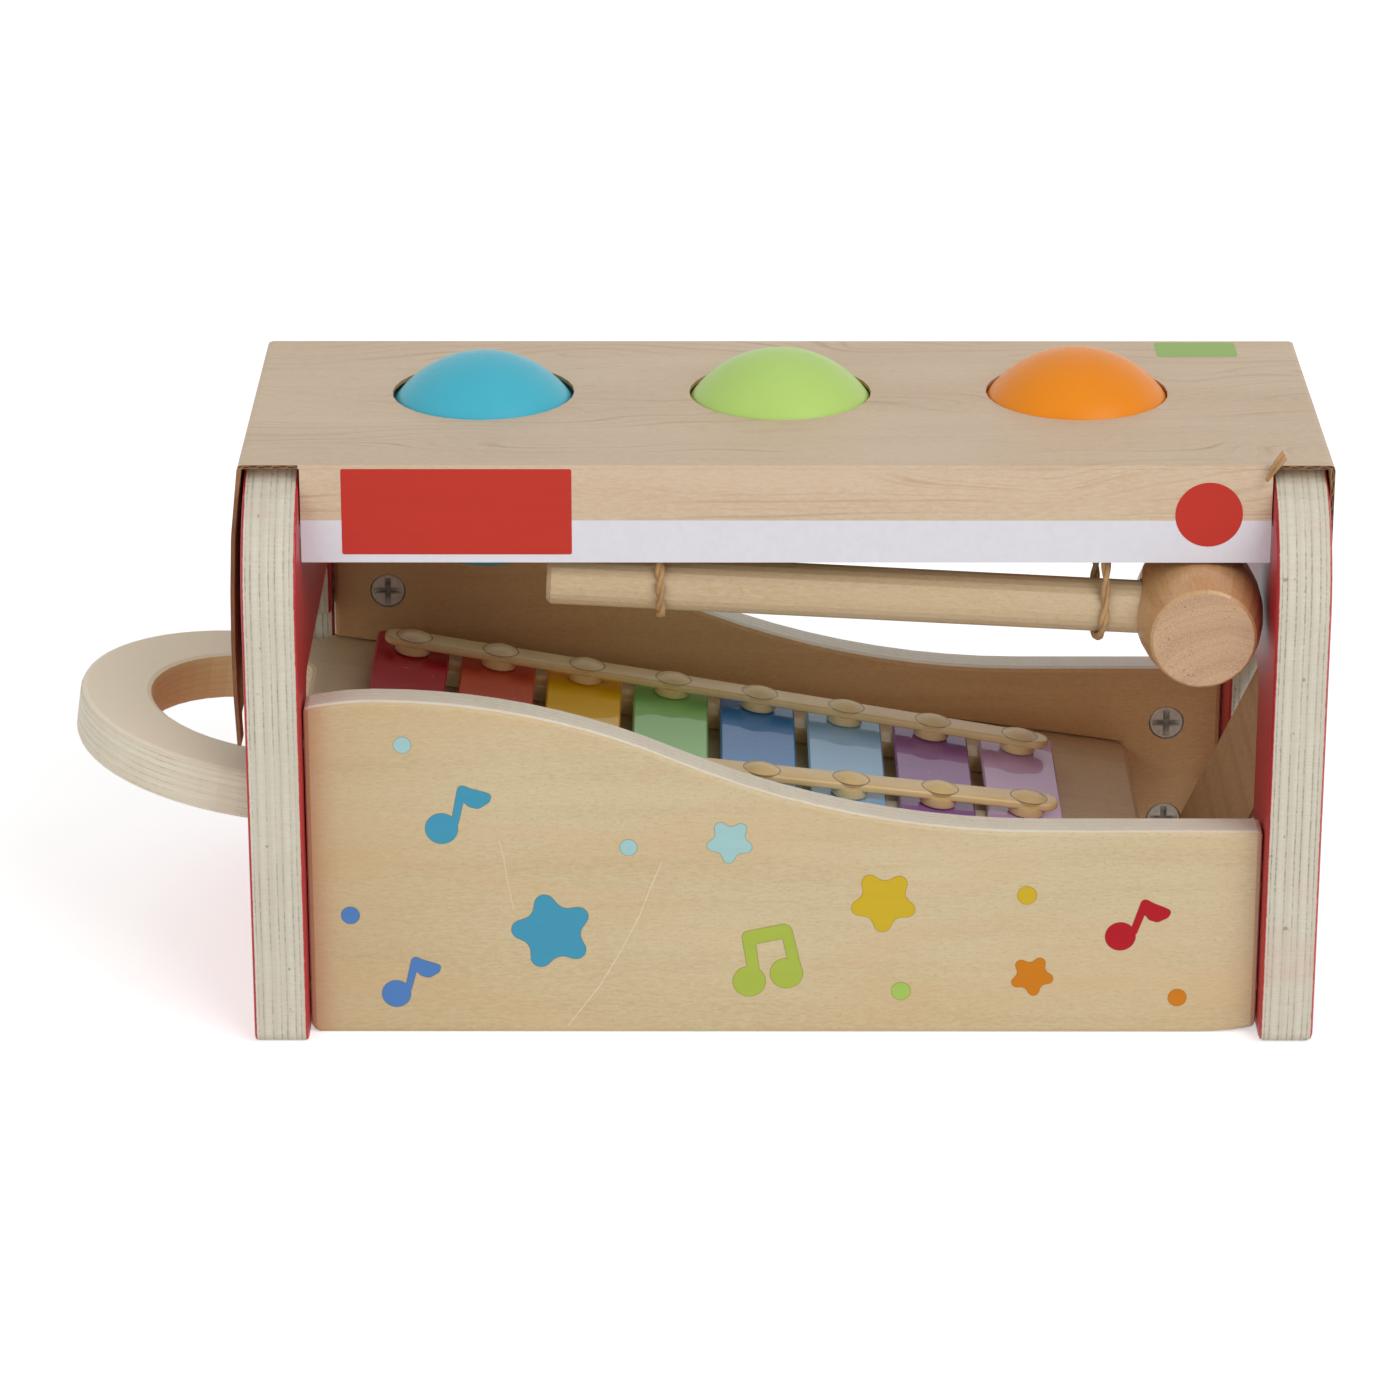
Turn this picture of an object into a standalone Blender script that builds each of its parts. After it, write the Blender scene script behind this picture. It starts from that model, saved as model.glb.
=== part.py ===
"""Xylophone pounding bench: a plywood bench with three balls to pound through its top,
a xylophone on a sloping board that slides out by its ring handle, a mallet tied up with
twine, and the printed card sleeve that the bench is sold in.

Metres, +Z up, the viewer stands on the -Y side. The origin is on the ground, under the
middle of the whole length, ring handle included.
"""

import math

import bmesh
import bpy
from mathutils import Matrix, Vector

# Gaps and the overrun of cutters
SEAT_GAP = 0.0003
SLIDE_GAP = 0.0005
OVERRUN = 0.004

# Bench carcass
BENCH_LENGTH = 0.2403
BENCH_DEPTH = 0.124
BENCH_HEIGHT = 0.1324
END_THICKNESS = 0.0122
END_TOP_RADIUS = 0.0295
END_FOOT_RADIUS = 0.003
PLY_EDGE_ROUND = 0.0012

# Front and rear long panels
LONG_THICKNESS = 0.009
LONG_INSET = 0.006
LONG_HIGH = 0.0813
LONG_LOW = 0.0499
CREST_FROM_LEFT = 0.0162
DIP_FROM_RIGHT = 0.0500
CREST_RADIUS_SHARE = 0.445
SHOULDER_RADIUS = 0.071
LONG_CORNER_RADIUS = 0.0018
RELIEF_LENGTH = 0.013
RELIEF_RADIUS = 0.060

# Cam locks and the bolts that they pull
CAM_RADIUS = 0.004
CAM_DEPTH = 0.0060
CAM_RECESS = 0.0002
CAM_FROM_END = 0.0134
CAM_ABOVE_BOARD = 0.0078
CAM_RIGHT_HEIGHT = 0.0355
CAM_LOW_HEIGHT = 0.0102
CROSS_LENGTH = 0.0050
CROSS_WIDTH = 0.0011
CROSS_DEPTH = 0.0015
BOLT_RADIUS = 0.0015
BOLT_IN_END = 0.0080

# Top board, its ball holes and rubber grip rings
TOP_THICKNESS = 0.015
TOP_DEPTH = 0.0882
TOP_FORWARD = 0.001
TOP_CORNER_RADIUS = 0.0015
BALL_RADIUS = 0.025
BALL_WALL = 0.00825
BALL_SHIFT = -0.0007
BALL_BACK = 0.006
BALL_PROUD = {"blue": 0.0089, "green": 0.0096, "orange": 0.0099}
BALL_HOLE_GAP = 0.0009
RING_GAP = 0.0005
RING_HEIGHT = 0.005
RING_WALL = 0.0060
DOWEL_RADIUS = 0.003
DOWEL_LENGTH = 0.020
DOWEL_SPREAD = 0.025

# Sloping xylophone board and its ring handle
BOARD_SLOPE = math.radians(8.19)
BOARD_TOP_AT_LEFT = 0.0579
BOARD_THICKNESS = 0.0115
BOARD_END_GAP = 0.0229
BOARD_CORNER_RADIUS = 0.006
BOARD_EDGE_ROUND = 0.0014
GROOVE_DEPTH = 0.0027
HANDLE_HOLE_RADIUS = 0.029
HANDLE_CENTRE_INSIDE = 0.0020
HANDLE_HOLE_FLAT = 0.0065
HANDLE_HOLE_CORNER = 0.006
SHOULDER_STEP = 0.0037
SHOULDER_BACK = 0.0075
SHOULDER_LENGTH = 0.0022

# Openings in the end panels
SLOT_STEP = 0.0094
SLOT_TOP = 0.0811
SLOT_CORNER_RADIUS = 0.005
SLOT_NOTCH_RADIUS = 0.001
DOOR_HALF = 0.030
DOOR_TOP = 0.0785
DOOR_CORNER_RADIUS = 0.006

# Keys and the moulded rails that hold them
KEY_NAMES = ("red", "coral", "yellow", "green", "blue", "sky", "purple", "lilac")
KEY_WIDTH = 0.0178
KEY_PITCH = 0.0208
KEY_FIRST = 0.0195
KEY_FRONT_GAP = 0.0015
KEY_REAR_GAP = 0.0065
KEY_TAPER = 0.024
KEY_THICKNESS = 0.0016
KEY_CORNER_RADIUS = 0.0021
KEY_BEVEL = 0.0004
RAIL_WIDTH = 0.0069
RAIL_HEIGHT = 0.0026
RAIL_ROUND = 0.0004
RAIL_FROM_LONGEST = 0.0125
RAIL_FROM_SHORTEST = 0.0115
RAIL_OVERHANG = 0.0070
BASE_HEIGHT = 0.0038
COLLAR_RADIUS = 0.0050
COLLAR_HEIGHT = 0.0012
DOME_RADIUS = 0.0044
DOME_HEIGHT = 0.0012
PIN_RADIUS = 0.0016
PIN_IN_BASE = 0.0024
SCREW_RADIUS = 0.0012
SCREW_HEAD_RADIUS = 0.0026
SCREW_HEAD_HEIGHT = 0.0014
SCREW_IN_BASE = 0.0018

# Mallet
HANDLE_ROD_RADIUS = 0.006
HANDLE_ROD_LENGTH = 0.1504
HANDLE_ROD_CHAMFER = 0.0010
MALLET_DIP = math.radians(3.05)
MALLET_ROLL = math.radians(4.2)
MALLET_HEIGHT = 0.0967
MALLET_BEHIND_LIP = 0.0012
MALLET_WALL_GAP = 0.0006
HEAD_RADIUS = 0.0145
HEAD_FACE_RADIUS = 0.0119
HEAD_LENGTH = 0.0325
HEAD_EDGE_ROUND = 0.0006
HEAD_BORE_PAST_AXIS = 0.0040

# Twine
TWINE_RADIUS = 0.00075
TIE_LEFT = 0.1210
TIE_RIGHT = 0.0202
TIE_SPREAD = 0.0025
TWINE_END_RISE = 0.0040
TWINE_END_DROP = 0.0046
TWINE_END_REACH = 0.0034

# Card sleeve
CARD = 0.0009
CARD_DEPTH = 0.0912
CARD_LIP = 0.0228
CARD_HOLE_RADIUS = 0.0209
CARD_FOLD_RADIUS = 0.0012
LEFT_FLAP_BULGE = 0.0026
LEFT_FLAP_CLEARANCE = 0.0006
RIGHT_FLAP_CREASE = 0.0711
RIGHT_FLAP_IN = 0.0245
RIGHT_FLAP_END = 0.0142
TONGUE_GAP = 0.0018

# Facet counts
FOLD_STEPS = 2
SMALL_ARC_STEPS = 3
ARC_STEPS = 5
WIDE_ARC_STEPS = 10
BOLT_STEPS = 8
ROUND_STEPS = 12
CAM_STEPS = 16
HEAD_STEPS = 28
BALL_STEPS = 26
HOLE_STEPS = 32

# Angles that count as an edge
SHARP_ANGLE = math.radians(35)
BEVEL_ANGLE = math.radians(40)

# Shares of a size
MERGE_SHARE = 0.03
MITRE_SHARE = 0.5
RING_EASE_SHARE = 0.25
BETWEEN_KEYS_SHARE = 0.5
DOME_SHARES = (0.80, 0.70)
FLAP_BULGE_SHARES = ((0.75, 0.0), (0.95, 0.18), (1.0, 0.36), (0.92, 0.55), (0.70, 0.75))

# Places that follow from the sizes above
SLOPE_COS = math.cos(BOARD_SLOPE)
SLOPE_SIN = math.sin(BOARD_SLOPE)
SLOPE_TAN = math.tan(BOARD_SLOPE)
LONG_OUTER_Y = BENCH_DEPTH / 2 - LONG_INSET
LONG_INNER_Y = LONG_OUTER_Y - LONG_THICKNESS
BOARD_HALF = LONG_INNER_Y + GROOVE_DEPTH - SEAT_GAP
HANDLE_RADIUS = BOARD_HALF - SHOULDER_STEP
SLOT_HALF = BOARD_HALF - SLOT_STEP
CENTRE_IN_WALL = END_THICKNESS - HANDLE_CENTRE_INSIDE
HANDLE_SWEEP = (HANDLE_RADIUS - BOARD_EDGE_ROUND) * SLOPE_COS + BOARD_EDGE_ROUND
HANDLE_LEAN = (BOARD_THICKNESS - BOARD_EDGE_ROUND) * SLOPE_SIN
HANDLE_REACH = HANDLE_SWEEP + HANDLE_LEAN - HANDLE_CENTRE_INSIDE
RIGHT_REACH = SEAT_GAP + CARD
TOTAL_LENGTH = HANDLE_REACH + BENCH_LENGTH + RIGHT_REACH
OUTER_LEFT = HANDLE_REACH - TOTAL_LENGTH / 2
OUTER_RIGHT = OUTER_LEFT + BENCH_LENGTH
INNER_LEFT = OUTER_LEFT + END_THICKNESS
INNER_RIGHT = OUTER_RIGHT - END_THICKNESS
INNER_LENGTH = INNER_RIGHT - INNER_LEFT
BALL_PITCH = INNER_LENGTH / 2 - BALL_WALL - RING_WALL - RING_GAP - BALL_RADIUS
CAM_LEFT_HEIGHT = BOARD_TOP_AT_LEFT + CAM_ABOVE_BOARD + CAM_RADIUS
BOARD_LENGTH = (INNER_LENGTH - BOARD_END_GAP) / SLOPE_COS
TOP_UNDERSIDE = BENCH_HEIGHT - TOP_THICKNESS
CARD_UNDERSIDE = BENCH_HEIGHT + SEAT_GAP
CARD_TOP = CARD_UNDERSIDE + CARD
CARD_FRONT = -CARD_DEPTH / 2 - TOP_FORWARD
CARD_REAR = CARD_DEPTH / 2 - TOP_FORWARD
KEY_LONGEST = 2 * LONG_INNER_Y - KEY_FRONT_GAP - KEY_REAR_GAP
KEY_SHORTEST = KEY_LONGEST - KEY_TAPER
KEYS_FORWARD = (KEY_REAR_GAP - KEY_FRONT_GAP) / 2
KEY_UNDERSIDE = SEAT_GAP + BASE_HEIGHT + SEAT_GAP
KEY_TOP = KEY_UNDERSIDE + KEY_THICKNESS
COLLAR_UNDERSIDE = KEY_TOP + SEAT_GAP
RAIL_UNDERSIDE = COLLAR_UNDERSIDE + COLLAR_HEIGHT
RAIL_TOP = RAIL_UNDERSIDE + RAIL_HEIGHT
DOME_TOP = RAIL_TOP + DOME_HEIGHT
FLAP_OUTSIDE = OUTER_LEFT - SEAT_GAP - CARD - LEFT_FLAP_BULGE
BOARD_TOP_AT_FLAP = BOARD_TOP_AT_LEFT + (INNER_LEFT - FLAP_OUTSIDE) * SLOPE_TAN
LEFT_FLAP_END = BOARD_TOP_AT_FLAP + (KEY_TOP + LEFT_FLAP_CLEARANCE) / SLOPE_COS
MALLET_Y = CARD_FRONT + CARD + MALLET_BEHIND_LIP + HANDLE_ROD_RADIUS
MALLET_X = INNER_RIGHT - MALLET_WALL_GAP - HEAD_RADIUS


# Materials

def material(name, color, roughness, metallic=0.0):
    """A plain Principled material in the part's own colour."""
    made = bpy.data.materials.new(name)
    made.use_nodes = True
    shader = made.node_tree.nodes["Principled BSDF"]
    shader.inputs["Base Color"].default_value = (*color, 1.0)
    shader.inputs["Roughness"].default_value = roughness
    shader.inputs["Metallic"].default_value = metallic
    return made


def make_materials():
    """Every finish on the bench, by name."""
    finishes = {
        "red_paint": ((0.45, 0.02, 0.03), 0.45, 0.0),
        "panel_wood": ((0.68, 0.50, 0.30), 0.50, 0.0),
        "board_wood": ((0.66, 0.50, 0.34), 0.50, 0.0),
        "mallet_wood": ((0.66, 0.47, 0.27), 0.50, 0.0),
        "card_print": ((0.68, 0.50, 0.35), 0.60, 0.0),
        "rail_plastic": ((0.72, 0.54, 0.30), 0.40, 0.0),
        "grip_rubber": ((0.03, 0.03, 0.03), 0.80, 0.0),
        "twine": ((0.52, 0.36, 0.18), 0.85, 0.0),
        "cam_metal": ((0.50, 0.49, 0.47), 0.35, 1.0),
        "screw_steel": ((0.60, 0.60, 0.60), 0.30, 1.0),
        "ball_blue": ((0.06, 0.45, 0.62), 0.30, 0.0),
        "ball_green": ((0.34, 0.68, 0.11), 0.30, 0.0),
        "ball_orange": ((0.92, 0.26, 0.01), 0.30, 0.0),
        "key_red": ((0.35, 0.01, 0.02), 0.20, 0.0),
        "key_coral": ((0.45, 0.08, 0.03), 0.20, 0.0),
        "key_yellow": ((0.75, 0.45, 0.01), 0.20, 0.0),
        "key_green": ((0.20, 0.45, 0.13), 0.20, 0.0),
        "key_blue": ((0.06, 0.17, 0.40), 0.20, 0.0),
        "key_sky": ((0.22, 0.40, 0.60), 0.20, 0.0),
        "key_purple": ((0.16, 0.06, 0.22), 0.20, 0.0),
        "key_lilac": ((0.32, 0.18, 0.34), 0.20, 0.0),
    }
    return {name: material(name, *values) for name, values in finishes.items()}


# Outlines

def fillet(corners, radii, steps=ARC_STEPS):
    """A closed outline whose corners are rounded, each with its own radius."""
    outline = []
    count = len(corners)
    for index, corner in enumerate(corners):
        here = Vector(corner)
        before = Vector(corners[index - 1]) - here
        after = Vector(corners[(index + 1) % count]) - here
        radius = radii[index]
        if radius == 0:
            outline.append(here)
            continue
        before.normalize()
        after.normalize()
        half = before.angle(after) / 2
        centre = here + (before + after).normalized() * (radius / math.sin(half))
        start = here + before * (radius / math.tan(half)) - centre
        end = here + after * (radius / math.tan(half)) - centre
        sweep = start.angle_signed(end)
        for step in range(steps + 1):
            turn = Matrix.Rotation(-sweep * step / steps, 2)
            outline.append(centre + turn @ start)
    return outline


def rectangle(low, high, radius, steps=ARC_STEPS):
    """A rectangle outline with equal round corners."""
    corners = [low, (high[0], low[1]), high, (low[0], high[1])]
    return fillet(corners, [radius] * len(corners), steps)


def arc(centre, radius, start, end, steps):
    """Points along an arc, both ends included."""
    turns = [start + (end - start) * step / steps for step in range(steps + 1)]
    return [Vector((centre[0] + radius * math.cos(turn), centre[1] + radius * math.sin(turn)))
            for turn in turns]


def ribbon(path, thickness):
    """The outline of a sheet folded along a path, the thickness on the path's right."""
    inner = []
    for index, point in enumerate(path):
        ahead = path[min(index + 1, len(path) - 1)] - path[min(index, len(path) - 2)]
        behind = path[max(index, 1)] - path[max(index - 1, 0)]
        ahead.normalize()
        behind.normalize()
        side = (ahead + behind).normalized()
        normal = Vector((side.y, -side.x))
        spread = max(side.dot(ahead), MITRE_SHARE)
        inner.append(point + normal * (thickness / spread))
    return list(path) + inner[::-1]


# Solids

def place(point, axis, level):
    """A point of an outline, put in space at a level along the axis it faces."""
    across, up = point
    return {
        "X": Vector((level, across, up)),
        "Y": Vector((across, level, up)),
        "Z": Vector((across, up, level)),
    }[axis]


def finish_mesh(name, mesh_data):
    """Turn a finished bmesh into a mesh whose faces point out."""
    bmesh.ops.recalc_face_normals(mesh_data, faces=mesh_data.faces)
    mesh = bpy.data.meshes.new(name)
    mesh_data.to_mesh(mesh)
    mesh_data.free()
    return mesh


def add_object(name, mesh, finish=None, parent=None):
    """Link a mesh or curve to the scene as a named object."""
    made = bpy.data.objects.new(name, mesh)
    bpy.context.scene.collection.objects.link(made)
    if finish:
        mesh.materials.append(finish)
    made.parent = parent
    return made


def prism_mesh(name, outline, axis, start, end):
    """An outline extruded from one level to another along an axis."""
    data = bmesh.new()
    ring = [data.verts.new(place(point, axis, start)) for point in outline]
    face = data.faces.new(ring)
    grown = bmesh.ops.extrude_face_region(data, geom=[face], use_keep_orig=True)
    moved = [item for item in grown["geom"] if isinstance(item, bmesh.types.BMVert)]
    shift = place((0, 0), axis, end) - place((0, 0), axis, start)
    bmesh.ops.translate(data, verts=moved, vec=shift)
    return finish_mesh(name, data)


def lathe_mesh(name, profile, steps, turn=None):
    """A profile of (radius, height) pairs spun about Z, then turned if asked."""
    data = bmesh.new()
    verts = [data.verts.new((radius, 0, height)) for radius, height in profile]
    edges = [data.edges.new(pair) for pair in zip(verts, verts[1:])]
    if profile[0][0] > 0:
        edges.append(data.edges.new((verts[-1], verts[0])))
    bmesh.ops.spin(data, geom=verts + edges, cent=(0, 0, 0), axis=(0, 0, 1),
                   angle=2 * math.pi, steps=steps)
    bmesh.ops.remove_doubles(data, verts=data.verts, dist=SEAT_GAP * MERGE_SHARE)
    if turn:
        bmesh.ops.transform(data, matrix=turn, verts=data.verts)
    return finish_mesh(name, data)


def join_meshes(name, meshes):
    """Separate closed solids put in one mesh, for one Boolean step."""
    data = bmesh.new()
    for mesh in meshes:
        data.from_mesh(mesh)
    return finish_mesh(name, data)


def rod_mesh(name, radius, start, end, steps=ROUND_STEPS):
    """A plain cylinder between two points."""
    start, end = Vector(start), Vector(end)
    span = end - start
    turn = Matrix.Translation(start) @ span.to_track_quat("Z", "Y").to_matrix().to_4x4()
    profile = [(0, 0), (radius, 0), (radius, span.length), (0, span.length)]
    return lathe_mesh(name, profile, steps, turn)


def add_bevel(target, width, segments=2):
    """Round the sharp edges of a piece."""
    bevel = target.modifiers.new("edge_round", "BEVEL")
    bevel.width = width
    bevel.segments = segments
    bevel.limit_method = "ANGLE"
    bevel.angle_limit = BEVEL_ANGLE


def add_boolean(target, mesh, operation="DIFFERENCE", parent=None):
    """Cut a piece by a hidden cutter, or grow it by a hidden lump."""
    tool = add_object(mesh.name, mesh, parent=parent)
    tool.hide_render = True
    tool.display_type = "WIRE"
    modifier = target.modifiers.new(mesh.name, "BOOLEAN")
    modifier.operation = operation
    modifier.solver = "EXACT"
    modifier.object = tool


def shade(target):
    """Smooth shading, with edges kept where faces meet sharply."""
    target.data.shade_smooth()
    target.data.set_sharp_from_angle(angle=SHARP_ANGLE)


# End panels

def end_outline():
    """The end panel seen from the side: square feet and wide round shoulders."""
    half = BENCH_DEPTH / 2
    corners = [(-half, 0), (half, 0), (half, BENCH_HEIGHT), (-half, BENCH_HEIGHT)]
    radii = [END_FOOT_RADIUS, END_FOOT_RADIUS, END_TOP_RADIUS, END_TOP_RADIUS]
    return fillet(corners, radii, WIDE_ARC_STEPS)


def slot_outline():
    """The T-shaped slot: wide below for the board and its keys, narrower above for the rails."""
    wide = BOARD_HALF + SLIDE_GAP
    low = BOARD_TOP_AT_LEFT - BOARD_THICKNESS / SLOPE_COS - SLIDE_GAP
    step = BOARD_TOP_AT_LEFT + END_THICKNESS * SLOPE_TAN + (KEY_TOP + SLIDE_GAP) / SLOPE_COS
    corners = [(-wide, low), (wide, low), (wide, step), (SLOT_HALF, step),
               (SLOT_HALF, SLOT_TOP), (-SLOT_HALF, SLOT_TOP), (-SLOT_HALF, step), (-wide, step)]
    notch = SLOT_NOTCH_RADIUS
    wide_top = SLOT_CORNER_RADIUS
    return fillet(corners, [notch, notch, notch, notch, wide_top, wide_top, notch, notch])


def door_outline():
    """The doorway that the balls roll out of, open at the ground."""
    corners = [(-DOOR_HALF, -OVERRUN), (DOOR_HALF, -OVERRUN),
               (DOOR_HALF, DOOR_TOP), (-DOOR_HALF, DOOR_TOP)]
    return fillet(corners, [0, 0, DOOR_CORNER_RADIUS, DOOR_CORNER_RADIUS], WIDE_ARC_STEPS)


def make_end_panel(name, left, opening, finish):
    """One painted end panel with its opening cut through."""
    mesh = prism_mesh(name, end_outline(), "X", left, left + END_THICKNESS)
    panel = add_object(name, mesh, finish)
    cutter = prism_mesh(name + "_opening", opening, "X",
                        left - OVERRUN, left + END_THICKNESS + OVERRUN)
    add_boolean(panel, cutter)
    add_bevel(panel, PLY_EDGE_ROUND)
    return panel


# Long panels

def top_curve():
    """The S-curve along a long panel's top: a shoulder, a crest and a long tangent sweep."""
    left = INNER_LEFT + SEAT_GAP
    right = INNER_RIGHT - SEAT_GAP
    crest = INNER_LEFT + CREST_FROM_LEFT
    dip = INNER_RIGHT - DIP_FROM_RIGHT
    drop = LONG_HIGH - LONG_LOW
    span = dip - crest
    both = (span ** 2 + drop ** 2) / (2 * drop)
    crest_radius = both * CREST_RADIUS_SHARE
    dip_radius = both - crest_radius
    sweep = math.asin(span / both)
    shoulder = math.asin((crest - left) / SHOULDER_RADIUS)
    upright = math.pi / 2
    points = arc((crest, LONG_HIGH - SHOULDER_RADIUS), SHOULDER_RADIUS,
                 upright + shoulder, upright, ARC_STEPS)
    points += arc((crest, LONG_HIGH - crest_radius), crest_radius,
                  upright, upright - sweep, WIDE_ARC_STEPS)[1:]
    points += arc((dip, LONG_LOW + dip_radius), dip_radius,
                  -upright - sweep, -upright, WIDE_ARC_STEPS)[1:]
    points.append(Vector((right, LONG_LOW)))
    return points


def long_outline():
    """A long panel seen from the front, its foot eased upwards at the low end."""
    left = INNER_LEFT + SEAT_GAP
    right = INNER_RIGHT - SEAT_GAP
    sweep = math.asin(RELIEF_LENGTH / RELIEF_RADIUS)
    relief = arc((right - RELIEF_LENGTH, RELIEF_RADIUS), RELIEF_RADIUS,
                 -math.pi / 2, -math.pi / 2 + sweep, ARC_STEPS)
    corner = LONG_CORNER_RADIUS
    foot = arc((left + corner, corner), corner, -math.pi, -math.pi / 2, ARC_STEPS // 2)
    return foot + relief + top_curve()[::-1]


def cam_places():
    """The side, end and height of each cam lock: every end has a high and a low one."""
    ends = [("left", INNER_LEFT, 1, CAM_LEFT_HEIGHT), ("right", INNER_RIGHT, -1, CAM_RIGHT_HEIGHT)]
    for side, way in (("front", -1), ("rear", 1)):
        for end, wall, inward, high in ends:
            yield side, way, end, wall, inward, "high", high
            yield side, way, end, wall, inward, "low", CAM_LOW_HEIGHT


def cam_axis(wall, inward, height, way, depth):
    """A point on a cam's axis, at a depth into the long panel from its inner face."""
    return (wall + inward * CAM_FROM_END, way * (LONG_INNER_Y + depth), height)


def bolt_line(wall, inward, way, height, gap, stop):
    """A line along a bolt, from inside the end panel to a stop before the cam's axis."""
    middle = way * (LONG_INNER_Y + LONG_THICKNESS / 2)
    start = (wall - inward * (BOLT_IN_END + gap), middle, height)
    end = (wall + inward * (CAM_FROM_END - stop), middle, height)
    return start, end


def make_long_panel(side, way, finish):
    """One long panel, grooved for the sliding board and bored for its fasteners."""
    name = side + "_panel"
    faces = sorted((way * LONG_INNER_Y, way * LONG_OUTER_Y))
    panel = add_object(name, prism_mesh(name, long_outline(), "Y", *faces), finish)
    add_bevel(panel, PLY_EDGE_ROUND)
    return panel


def make_groove_cutter(slope):
    """The sliding board's own slab with its running gap, which cuts both long panels."""
    half = BOARD_HALF + SEAT_GAP
    end = BOARD_LENGTH + SEAT_GAP
    start = -END_THICKNESS
    radius = BOARD_CORNER_RADIUS + SEAT_GAP
    outline = fillet([(start, -half), (end, -half), (end, half), (start, half)],
                     [0, radius, radius, 0])
    mesh = prism_mesh("groove_cutter", outline, "Z", -BOARD_THICKNESS - SLIDE_GAP, SLIDE_GAP)
    cutter = add_object("groove_cutter", mesh, parent=slope)
    cutter.hide_render = True
    cutter.display_type = "WIRE"
    return cutter


def cut_with(target, cutter):
    """Cut a piece by a cutter that other pieces use too."""
    modifier = target.modifiers.new(cutter.name, "BOOLEAN")
    modifier.solver = "EXACT"
    modifier.object = cutter


def cross_outline():
    """A cross recess, seen along the cam's axis."""
    long, short = CROSS_LENGTH / 2, CROSS_WIDTH / 2
    return [(-long, -short), (-short, -short), (-short, -long), (short, -long),
            (short, -short), (long, -short), (long, short), (short, short),
            (short, long), (-short, long), (-short, short), (-long, short)]


def make_cams(panels, ends, finishes):
    """Cam locks flush in the long panels' inner faces, with the bolts that they pull."""
    for side, way, end, wall, inward, level, height in cam_places():
        label = f"{side}_{end}_{level}"
        mouth = cam_axis(wall, inward, height, way, CAM_RECESS)
        back = cam_axis(wall, inward, height, way, CAM_RECESS + CAM_DEPTH)
        bore_mouth = cam_axis(wall, inward, height, way, -OVERRUN)
        bore_back = cam_axis(wall, inward, height, way, CAM_RECESS + CAM_DEPTH + SEAT_GAP)
        cam = add_object("cam_" + label, rod_mesh("cam_" + label, CAM_RADIUS, mouth, back,
                                                  CAM_STEPS), finishes["cam_metal"])
        levels = sorted((mouth[1] - way * OVERRUN, mouth[1] + way * CROSS_DEPTH))
        cross = [(mouth[0] + across, mouth[2] + up) for across, up in cross_outline()]
        add_boolean(cam, prism_mesh("cross_" + label, cross, "Y", *levels))
        add_boolean(panels[side], rod_mesh("cam_bore_" + label, CAM_RADIUS + SEAT_GAP,
                                           bore_mouth, bore_back, CAM_STEPS))
        line = bolt_line(wall, inward, way, height, 0, CAM_RADIUS + SEAT_GAP)
        bolt = rod_mesh("bolt_" + label, BOLT_RADIUS, *line, BOLT_STEPS)
        add_object("bolt_" + label, bolt, finishes["screw_steel"])
        line = bolt_line(wall, inward, way, height, SEAT_GAP, 0)
        bore = rod_mesh("bolt_bore_" + label, BOLT_RADIUS + SEAT_GAP, *line, BOLT_STEPS)
        add_boolean(panels[side], bore)
        cut_with(ends[end], bpy.data.objects["bolt_bore_" + label])


# Top board, balls and grip rings

def ball_x(index):
    """The place of a ball along the bench, the middle ball near its middle."""
    middle = (OUTER_LEFT + OUTER_RIGHT) / 2
    return middle + BALL_SHIFT + (index - 1) * BALL_PITCH


def make_top_board(finishes):
    """The top board, with three ball holes bored wider underneath for the grip rings."""
    front = -TOP_DEPTH / 2 - TOP_FORWARD
    outline = rectangle((INNER_LEFT + SEAT_GAP, front), (INNER_RIGHT - SEAT_GAP, front + TOP_DEPTH),
                        TOP_CORNER_RADIUS, FOLD_STEPS)
    mesh = prism_mesh("top_board", outline, "Z", TOP_UNDERSIDE, BENCH_HEIGHT)
    board = add_object("top_board", mesh, finishes["board_wood"])
    add_bevel(board, PLY_EDGE_ROUND, 1)
    hole = BALL_RADIUS + BALL_HOLE_GAP
    seat = BALL_RADIUS + RING_GAP + RING_WALL + SEAT_GAP
    low = TOP_UNDERSIDE - OVERRUN
    ledge = TOP_UNDERSIDE + SEAT_GAP + RING_HEIGHT + SEAT_GAP
    high = BENCH_HEIGHT + OVERRUN
    profile = [(0, low), (seat, low), (seat, ledge), (hole, ledge), (hole, high), (0, high)]
    for index, name in enumerate(BALL_PROUD):
        move = Matrix.Translation((ball_x(index), BALL_BACK, 0))
        add_boolean(board, lathe_mesh("ball_bore_" + name, profile, HOLE_STEPS, move))
    return board


def make_balls(finishes):
    """The balls, held by their grip rings with their tops out of the sleeve."""
    for index, (name, proud) in enumerate(BALL_PROUD.items()):
        data = bmesh.new()
        bmesh.ops.create_uvsphere(data, u_segments=BALL_STEPS, v_segments=BALL_STEPS // 2,
                                  radius=BALL_RADIUS)
        ball = add_object("ball_" + name, finish_mesh("ball_" + name, data),
                          finishes["ball_" + name])
        ball.location = (ball_x(index), BALL_BACK, CARD_TOP + proud - BALL_RADIUS)
        ball.data.shade_smooth()


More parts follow.
